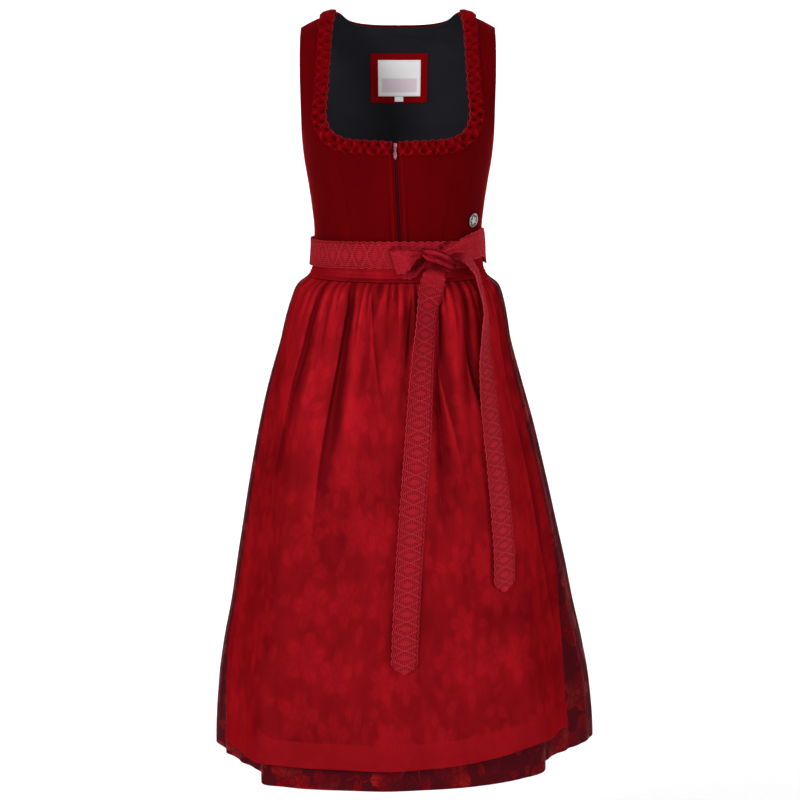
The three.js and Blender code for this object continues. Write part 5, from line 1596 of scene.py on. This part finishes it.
def scallop(along):
    """How far the woven edge stands back from the ribbon's full width."""
    return SCALLOP_DEPTH * (1 - np.abs(np.sin(np.pi * along / SCALLOP)) ** 0.8)


def ribbon_uv(along, half):
    s = ribbon_across[None, :] * np.reshape(half, (-1, 1))
    return np.stack(np.broadcast_arrays(s, np.reshape(along, (-1, 1))), axis=-1)


def around_waist(name, start, end, low_at, top_at, tall_at, wrinkle, node):
    count = int(abs(end - start) * math.pi / 180 * SASH_RADIUS / SASH_STEP)
    angle = np.linspace(start, end, count + 1)
    along = np.radians(angle - start) * SASH_RADIUS
    tall, top = tall_at(angle), top_at(angle)
    half = tall / 2 - scallop(along)
    z = (top - tall / 2)[:, None] + half[:, None] * ribbon_across[None, :]
    u, v = np.broadcast_arrays(angle[:, None], row_at(z))
    low = np.broadcast_to(low_at(angle)[:, None], u.shape)
    relief = wrinkle(angle[:, None], ribbon_across[None, :])
    outer = bodice_at(u, v, low + RIBBON + relief)
    inner = bodice_at(u, v, low + relief * 0)
    piece = wall(name, outer, inner, ribbon_uv(along, tall / 2))
    mark(piece, "shade", crossing_shade(outer) if node == "sash_front" else wrinkle_shade(relief))
    near_bow = smooth(outer[..., 0], -60, -5) * (outer[..., 1] < 0)
    mark(piece, "plain", PLAIN * near_bow, PLAIN * near_bow)
    return dress(piece, jacquard, node)


def crossing_shade(place):
    """Narrow shadows where the sash from the hip and the loop lie on the front sash."""
    x, z = place[..., 0], place[..., 2]
    slope = (x - 70) * 0.54 - (z + 334) * 0.84
    hip = smooth(x, 44, 60) * np.exp(-((slope + 1.5) / 2.2) ** 2)
    over = smooth(x, -12, -6) * (1 - smooth(x, 26, 40)) * np.exp(-((z + 338.4 + 0.06 * x) / 2.0) ** 2)
    beside = smooth(-z, 338, 343) * np.exp(-((x + 10 + (342 + z) * 0.3) / 2.2) ** 2)
    return 0.9 * np.maximum(hip, np.maximum(over, beside))


def wrinkle_shade(relief):
    # Painted shade in the wrinkles' valleys, less SASH_LIGHT, a painted light lift.
    return np.clip(-relief * 0.5, 0, 0.8) - SASH_LIGHT


def sash_top(angle):
    return -328 - 5 * np.sin(np.radians(angle)) ** 2


def soft_wrinkle(angle, across):
    return 0.35 * np.sin(angle * 0.21 + across * 1.7) + 0.3 * np.sin(angle * 0.083 - across * 2.3 + 1)


def even(value):
    return lambda angle: np.full(np.shape(angle), float(value))


print("scallops on a metre of ribbon:", round(1000 / SCALLOP))

# %% [markdown]
# ## The three stretches of the sash
# The ribbon shows in three stretches: over the front, over the back, and over the hip, where it
# climbs over itself to the knot. One long strip could make them all, but each has its own height,
# its own wrinkles and its own packed solid.

# %% Sash
around_waist("sash_over_front", -89.8, 56, even(SASH_LOW), sash_top, even(RIBBON_WIDTH),
             soft_wrinkle, "sash_front")
around_waist("sash_over_back", 90, 270, even(SASH_LOW), sash_top, even(RIBBON_WIDTH),
             soft_wrinkle, "sash_back")
climb = table(
    "angle top bottom", (26, -343, -352), (36, -337, -356), (46, -325, -361), (62, -318, -360),
    (76, -316, -360), (90, -333, -373))


def hip_folds(angle, across):
    near = smooth(76 - angle, 0, 30)
    return near * (0.9 * np.cos(across * 7 + angle * 0.05) + 0.4 * np.sin(across * 13)) * 0.6


around_waist("sash_over_hip", 26, 89.9,
             lambda a: mix(SASH_LOW + RIBBON + EASE, SASH_LOW, smooth(a, 60, 74)),
             lambda a: read(climb, "angle", a, "top"),
             lambda a: read(climb, "angle", a, "top") - read(climb, "angle", a, "bottom"),
             hip_folds, "sash_right")

# %% [markdown]
# ## A ribbon strip
# The bow is tied at the wearer's left: a knot, one loop that lies on the sash, a band that arches
# down to the right, and two long ends. All but the knot are the same strip along a middle line. A
# curve could carry a flat profile, but a grid also holds its scallops, ripples and shadows.

# %% Ribbon strip


def sash_face(x, z):
    """The face of the sash at a place seen from the front."""
    x, z = np.broadcast_arrays(np.asarray(x, float), np.asarray(z, float))
    aim = x.copy()
    for _ in range(4):
        u, v = bodice_place(aim, np.clip(z, BAND_BOTTOM + 2, BAND_TOP + 16))
        foot = bodice_at(u, v, np.full(x.shape, SASH_LOW + RIBBON))
        aim = aim + x - foot[..., 0]
    return foot


def finer(rows, steps):
    """A smooth curve through rows of any number of columns."""
    rows = np.asarray(rows, float)
    at = np.arange((len(rows) - 1) * steps + 1) / steps
    columns = [read_row({"c": rows[:, k]}, at, "c") for k in range(rows.shape[1])]
    return np.stack(columns, axis=-1)


def strip(name, centre, across, half, node, curl=0.0, gather=0.0, shade=0.0, inside_shade=0.0,
          plain=0.0):
    """A ribbon through its middle line, with scalloped edges and folds or a curl across it."""
    along = np.append(0, np.cumsum(np.linalg.norm(np.diff(centre, axis=0), axis=-1)))
    ahead = np.gradient(centre, axis=0)
    normal = unit(np.cross(ahead, across))
    inset = scallop(along)
    s = ribbon_across[None, :, None] * (half - inset)[:, None, None]
    middle = centre[:, None, :] + across[:, None, :] * s
    bow = (curl * np.ones(len(along)))[:, None] * (ribbon_across ** 2)[None, :]
    ripple = 0.25 * np.sin(along / 9)[:, None] * ribbon_across[None, :]
    ripple = ripple + np.reshape(gather, (-1, 1)) * np.cos(ribbon_across * 7.5 + 0.6)[None, :]
    middle = middle + normal[:, None, :] * (bow + ripple)[..., None]
    outer = middle + normal[:, None, :] * RIBBON / 2
    inner = middle - normal[:, None, :] * RIBBON / 2
    piece = wall(name, outer, inner, ribbon_uv(along, np.maximum(half, 1)))
    mark(piece, "shade", np.broadcast_to(shade, outer.shape[:2]), inside_shade)
    plain = np.broadcast_to(plain, outer.shape[:2])
    mark(piece, "plain", plain, plain)
    return dress(piece, jacquard, node)


def front_reach(x, z):
    sash = sash_face(x, z)[..., 1] - (RIBBON + EASE) * smooth(x, 50, 60)
    low = np.minimum(z, BAND_BOTTOM)
    apron = apron_point(front_bearing(x, low), low)[..., 1]
    return mix(np.minimum(sash, apron), apron, smooth(-z, 388, 410))


print("the sash's face in front of the zip:", np.round(sash_face(0, -345)))

# %% [markdown]
# ## Ribbon ends and arched band
# Two long ends hang down the apron, cut to a point, and a band arches from the knot to the shorter
# one. They could be let fall as simulated cloth, but a tie is mostly shaped by hand. So each ribbon
# is a table of where it is, how it is turned to the viewer and how far it stays off the cloth
# behind.

# %% Ribbon ends
left_tail = table(
    "x z turn rise lift half", (56, -363, 56, 0, 7, 14), (49.5, -385, 74, 0, 6, 19),
    (42.5, -417, 52, 0, 7, 19.5), (38, -450, 46, 0, 7, 20), (32.5, -522, 58, 0, 5, 20),
    (28, -610, 74, 0, 4, 20), (21.5, -697, 76, 0, 4, 20), (15.5, -785, 76, 0, 4, 20),
    (11, -873, 76, 0, 4, 20), (9, -921, 76, 0, 4, 20))
right_tail = table(
    "x z turn rise lift half", (125.4, -431.3, 10, 0, 3, 20), (124.5, -476, 21, 0, 3, 20),
    (125.5, -511, 29, 0, 4, 20), (130, -557, 38, 0, 4, 20), (137, -618, 42, 0, 4, 20),
    (143.5, -670, 46, 0, 4, 20), (149, -723, 50, 0, 4, 20), (153, -776, 51, 0, 4, 20),
    (153.5, -815, 52, 0, 4, 20))
bow_arch = table(
    "x z turn rise lift half", (77.6, -350, 8, 0.35, 3, 8), (90, -351, 8, 0.35, 5, 12),
    (99, -356, 8, 0.3, 6, 16), (106, -365, 8, 0.2, 6, 19), (113.5, -377, 8, 0.12, 6, 20),
    (118, -395, 8, 0.06, 7.5, 20), (122, -412, 8, 0, 6, 20), (125.5, -430, 10, 0, 3, 20))
TAIL_POINT, FINE_STEPS = 15.0, 14


def hang(name, rows, steps, point, node, curl, knot_reach, wear_and_painted_light, plain_reach):
    last = len(rows["x"]) - 1
    at = last * np.arange(steps + 1) / steps
    x, z, turn, rise, lift, half = (read_row(rows, at, c) for c in "x z turn rise lift half".split())
    turn = np.radians(turn)
    across = unit(points(np.sin(turn), np.cos(turn), rise))
    if point:
        for down, share in ((0.6, 0.56), (1.0, 0.1)):
            x, lift = np.append(x, x[steps]), np.append(lift, lift[steps])
            z = np.append(z, z[steps] - point * down)
            half = np.append(half, half[steps] * share)
            across = np.concatenate([across, across[steps:steps + 1]])
    flat = points(x, 0, z)
    way = unit(np.concatenate([flat[1:], flat[-1:]]) - np.concatenate([flat[:1], flat[:-1]]))
    across = unit(across - way * np.sum(way * across, axis=-1, keepdims=True))
    s = np.array([-1, -0.5, 0, 0.5, 1])[None, :]
    spot = flat[:, None, :] + across[:, None, :] * (s * half[:, None])[..., None]
    reach = front_reach(spot[..., 0], spot[..., 2]) - s * half[:, None] * across[:, None, 1]
    flat[:, 1] = reach.min(axis=1) - lift
    fine = finer(np.concatenate([flat, across, half[:, None]], axis=1), FINE_STEPS)
    row = np.arange(len(fine)) / FINE_STEPS
    half_fine = np.minimum(fine[:, 6], np.interp(row, np.arange(len(half)), half))
    # Painted shade under the knot, less a painted light lift that is largest for the ribbons on the right.
    under_knot = 0.75 * smooth(knot_reach - row[:, None], 0, 1.2) - wear_and_painted_light
    return strip(name, fine[:, :3], unit(fine[:, 3:6]), np.maximum(half_fine, 1.5), node, curl,
                 shade=under_knot, inside_shade=under_knot,
                 plain=PLAIN * smooth(plain_reach - row[:, None], 0, 2))


# The number before the last is a painted light lift.
hang("long_end", left_tail, 22, TAIL_POINT, "tail_left", 0.6, 1.6, 0.04, 4)
hang("short_end", right_tail, 18, TAIL_POINT, "tail_right", 0.6, 0, 0.22, 2)
hang("arched_band", bow_arch, 9, 0, "bow_band", 0.5, 2.2, 0.12, 12)

# %% [markdown]
# ## Loop
# The loop is the same ribbon, doubled back on itself. It could be a bent tube, but a strip shows its
# own inside, and painted shade darkens the loop's hollow and the gathers by the knot. Its rows say
# where it runs, how far it stands off the sash, how wide it is and how it leans.

# %% Loop
loop_rows = np.array([
    (37, 8, -345, 4.5, 8), (31, 10, -347, 6, 5), (25, 12.5, -349, 9, 2), (18, 15, -352.5, 13, -1),
    (9, 17, -355.3, 16.5, -4), (0, 16.5, -357, 17.5, -6), (-6, 12, -357.5, 17.5, -6), (-3, 8, -361, 17, -5),
    (4, 6, -366, 15, -3), (14, 5, -369, 14, -1), (26, 4.2, -367, 12.5, 3), (35, 3, -360, 9.5, 6),
    (40, 2.5, -353, 6, 8)], float)
centre = points(loop_rows[:, 0], sash_face(loop_rows[:, 0], loop_rows[:, 2])[:, 1] - loop_rows[:, 1],
                loop_rows[:, 2])
across = unit(points(loop_rows[:, 4] / 20, 0, 1))
fine = finer(np.concatenate([centre, across, loop_rows[:, 3:4]], axis=1), 8)
loop_gather = 1.3 * smooth(fine[:, 0], 4, 26)
into_knot = smooth(fine[:, :1], 12, 32)
pleated = 0.5 - 0.5 * np.cos(ribbon_across[None, :] * 7.5 + 0.6)
# Painted shade: the hollow darker towards the ribbon's top edge, and the gathers near the knot.
hollow = 0.1 + 0.75 * smooth(ribbon_across[None, :], -0.7, 0.35)
strip("loop", fine[:, :3], unit(fine[:, 3:6]), fine[:, 6], "bow_loop", gather=loop_gather,
      shade=hollow * np.ones_like(into_knot), inside_shade=into_knot * (0.05 + 0.6 * pleated),
      plain=0.7)

# %% [markdown]
# ## Knot
# The knot is a short wrap of ribbon round the loop. It could be simulated, but a tied knot seldom
# settles as wanted. So it is a ring of soft ridges along a short path, narrow at both ends, with
# painted shade where the ridges meet and towards both ends.

# %% Knot
knot_rows = np.array([(33, -341, 3.5, 4), (39, -344, 7.5, 7), (48, -348, 10.5, 9.5), (59, -353, 11.5, 10),
                      (69, -359, 11, 9), (77, -365, 9, 6.5), (81, -368, 5, 4)], float)


def make_knot(around=72, steps=14):
    """The wrap round the knot: folded ribbon, so its surface is a bundle of soft ridges."""
    rows = finer(knot_rows, steps)
    x, z, half, deep = rows.T
    face = sash_face(x, z)[:, 1]
    turn = (2 * np.pi * np.arange(around) / around)[None, :]
    way = unit(np.array([1.0, 0.0, 2.0]))
    share = np.linspace(0, 1, len(x))[:, None]
    folds = 1 + 0.13 * np.cos(5 * turn + 4.5 * share) - 0.1 * np.abs(np.cos(3.5 * turn - 3 * share))
    folds = mix(folds, 1, np.exp(-((np.sin(turn) + 1) / 0.5) ** 2))
    away = deep[:, None] * (1 + np.sin(turn) * folds)
    ring = points(x[:, None], face[:, None] - SEAM - away, z[:, None])
    ring = ring + way * (half[:, None] * np.cos(turn) * folds)[..., None]
    ends = np.stack([ring[0].mean(axis=0), ring[-1].mean(axis=0)])
    vertices = np.concatenate([ring.reshape(-1, 3), ends])
    across = np.linspace(-RIBBON_WIDTH / 2, RIBBON_WIDTH / 2, len(x))[:, None]
    uv = np.stack(np.broadcast_arrays(across, turn * 11), axis=-1)
    uv = np.concatenate([uv.reshape(-1, 2), [[0, 0], [0, 0]]])
    piece = new_object("knot", vertices, tube_faces(len(x), around), uv)
    # Painted shade in the valleys between ridges and towards both ends of the knot.
    ends_dark = 0.7 * np.abs(2 * share - 1) ** 6
    valley = np.append(np.clip((1.0 - folds) * 4.0, 0, 1) * 0.8 + 0.1 + ends_dark, [0.7, 0.7])
    point_values(piece, "shade", valley)
    point_values(piece, "plain", np.full(len(valley), 0.8))
    face_outward(piece)
    return piece


dress(make_knot(), jacquard, "bow_knot")

# %% [markdown]
# ## Floor and backdrop
# A pale sweep stands behind and below, as in a studio. A floor and a wall would meet in a dark line,
# so the sheet rises in one soft curve.

# %% Floor and backdrop
FLOOR = -1.62


def make_sweep():
    depth = [-4.0, 0.0, 2.2, 2.9, 3.25, 3.4, 3.4]
    height = [0.0, 0.0, 0.0, 0.18, 0.55, 1.1, 5.0]
    vertices = [(x, y, FLOOR + z) for x in (-5.0, 5.0) for y, z in zip(depth, height)]
    count = len(depth)
    faces = [(k, k + 1, count + k + 1, count + k) for k in range(count - 1)]
    mesh = bpy.data.meshes.new("sweep")
    mesh.from_pydata(vertices, [], faces)
    mesh.shade_smooth()
    sweep = bpy.data.objects.new("sweep", mesh)
    bpy.context.collection.objects.link(sweep)
    f = Finish("pale sweep", Roughness=0.9)
    f.shader.inputs["Base Color"].default_value = (0.93, 0.93, 0.93, 1)
    mesh.materials.append(f.material)
    return sweep


make_sweep()

# %% [markdown]
# ## Lights
# One strong lamp would leave deep shadows in the folds, so large soft lights from in front, from
# both sides and from above keep them open, and a wide one behind keeps the sweep pale.

# %% Lights


def soft_light(name, place, aim, width, height, watts):
    lamp = bpy.data.lights.new(name, "AREA")
    lamp.shape = "RECTANGLE"
    lamp.size, lamp.size_y, lamp.energy = width, height, watts
    holder = bpy.data.objects.new(name, lamp)
    bpy.context.collection.objects.link(holder)
    holder.location = place
    way = np.array(aim) - np.array(place)
    holder.rotation_euler = Vector(way).to_track_quat("-Z", "Y").to_euler()
    return holder


soft_light("key", (-1.9, -2.5, 1.0), (0, 0, -0.5), 0.8, 1.2, 62)
soft_light("front", (0.5, -3.6, 0.5), (0, 0, -0.5), 1.2, 1.2, 26)
soft_light("fill", (2.3, -2.2, 0.0), (0, 0, -0.6), 1.4, 2.0, 23)
soft_light("top", (0, 0.4, 2.2), (0, 0, -0.5), 2.2, 1.6, 14)
soft_light("back", (0, 2.6, 1.4), (0, 3.3, -0.6), 5.0, 1.6, 90)
world = bpy.data.worlds.new("studio")
world.use_nodes = True
world.node_tree.nodes["Background"].inputs[0].default_value = (1, 1, 1, 1)
world.node_tree.nodes["Background"].inputs[1].default_value = 0.34
bpy.context.scene.world = world
bpy.context.scene.view_settings.view_transform = "Standard"
print("lights:", len(bpy.data.lights))

# %% [markdown]
# ## Camera
# A long lens from in front keeps the dress's proportions, where a short one would swell its middle.
# It is aimed from one point at another instead of by typed angles, so either point can move alone.

# %% Camera
CAMERA_PLACE, CAMERA_AIM, LENS = (0.003, -2.6, -0.06), (0.003, 0.0, -0.578), 79.5
camera = bpy.data.cameras.new("camera")
camera.lens = LENS
camera.sensor_width = 36
holder = bpy.data.objects.new("camera", camera)
bpy.context.collection.objects.link(holder)
holder.location = CAMERA_PLACE
way = Vector(CAMERA_AIM) - Vector(CAMERA_PLACE)
holder.rotation_euler = way.to_track_quat("-Z", "Y").to_euler()
bpy.context.scene.camera = holder
print("the camera stands", -CAMERA_PLACE[1], "m in front")

# %% [markdown]
# ## End
# The last step only reports that the dress is built.

# %% Finish
print("the dress is built")
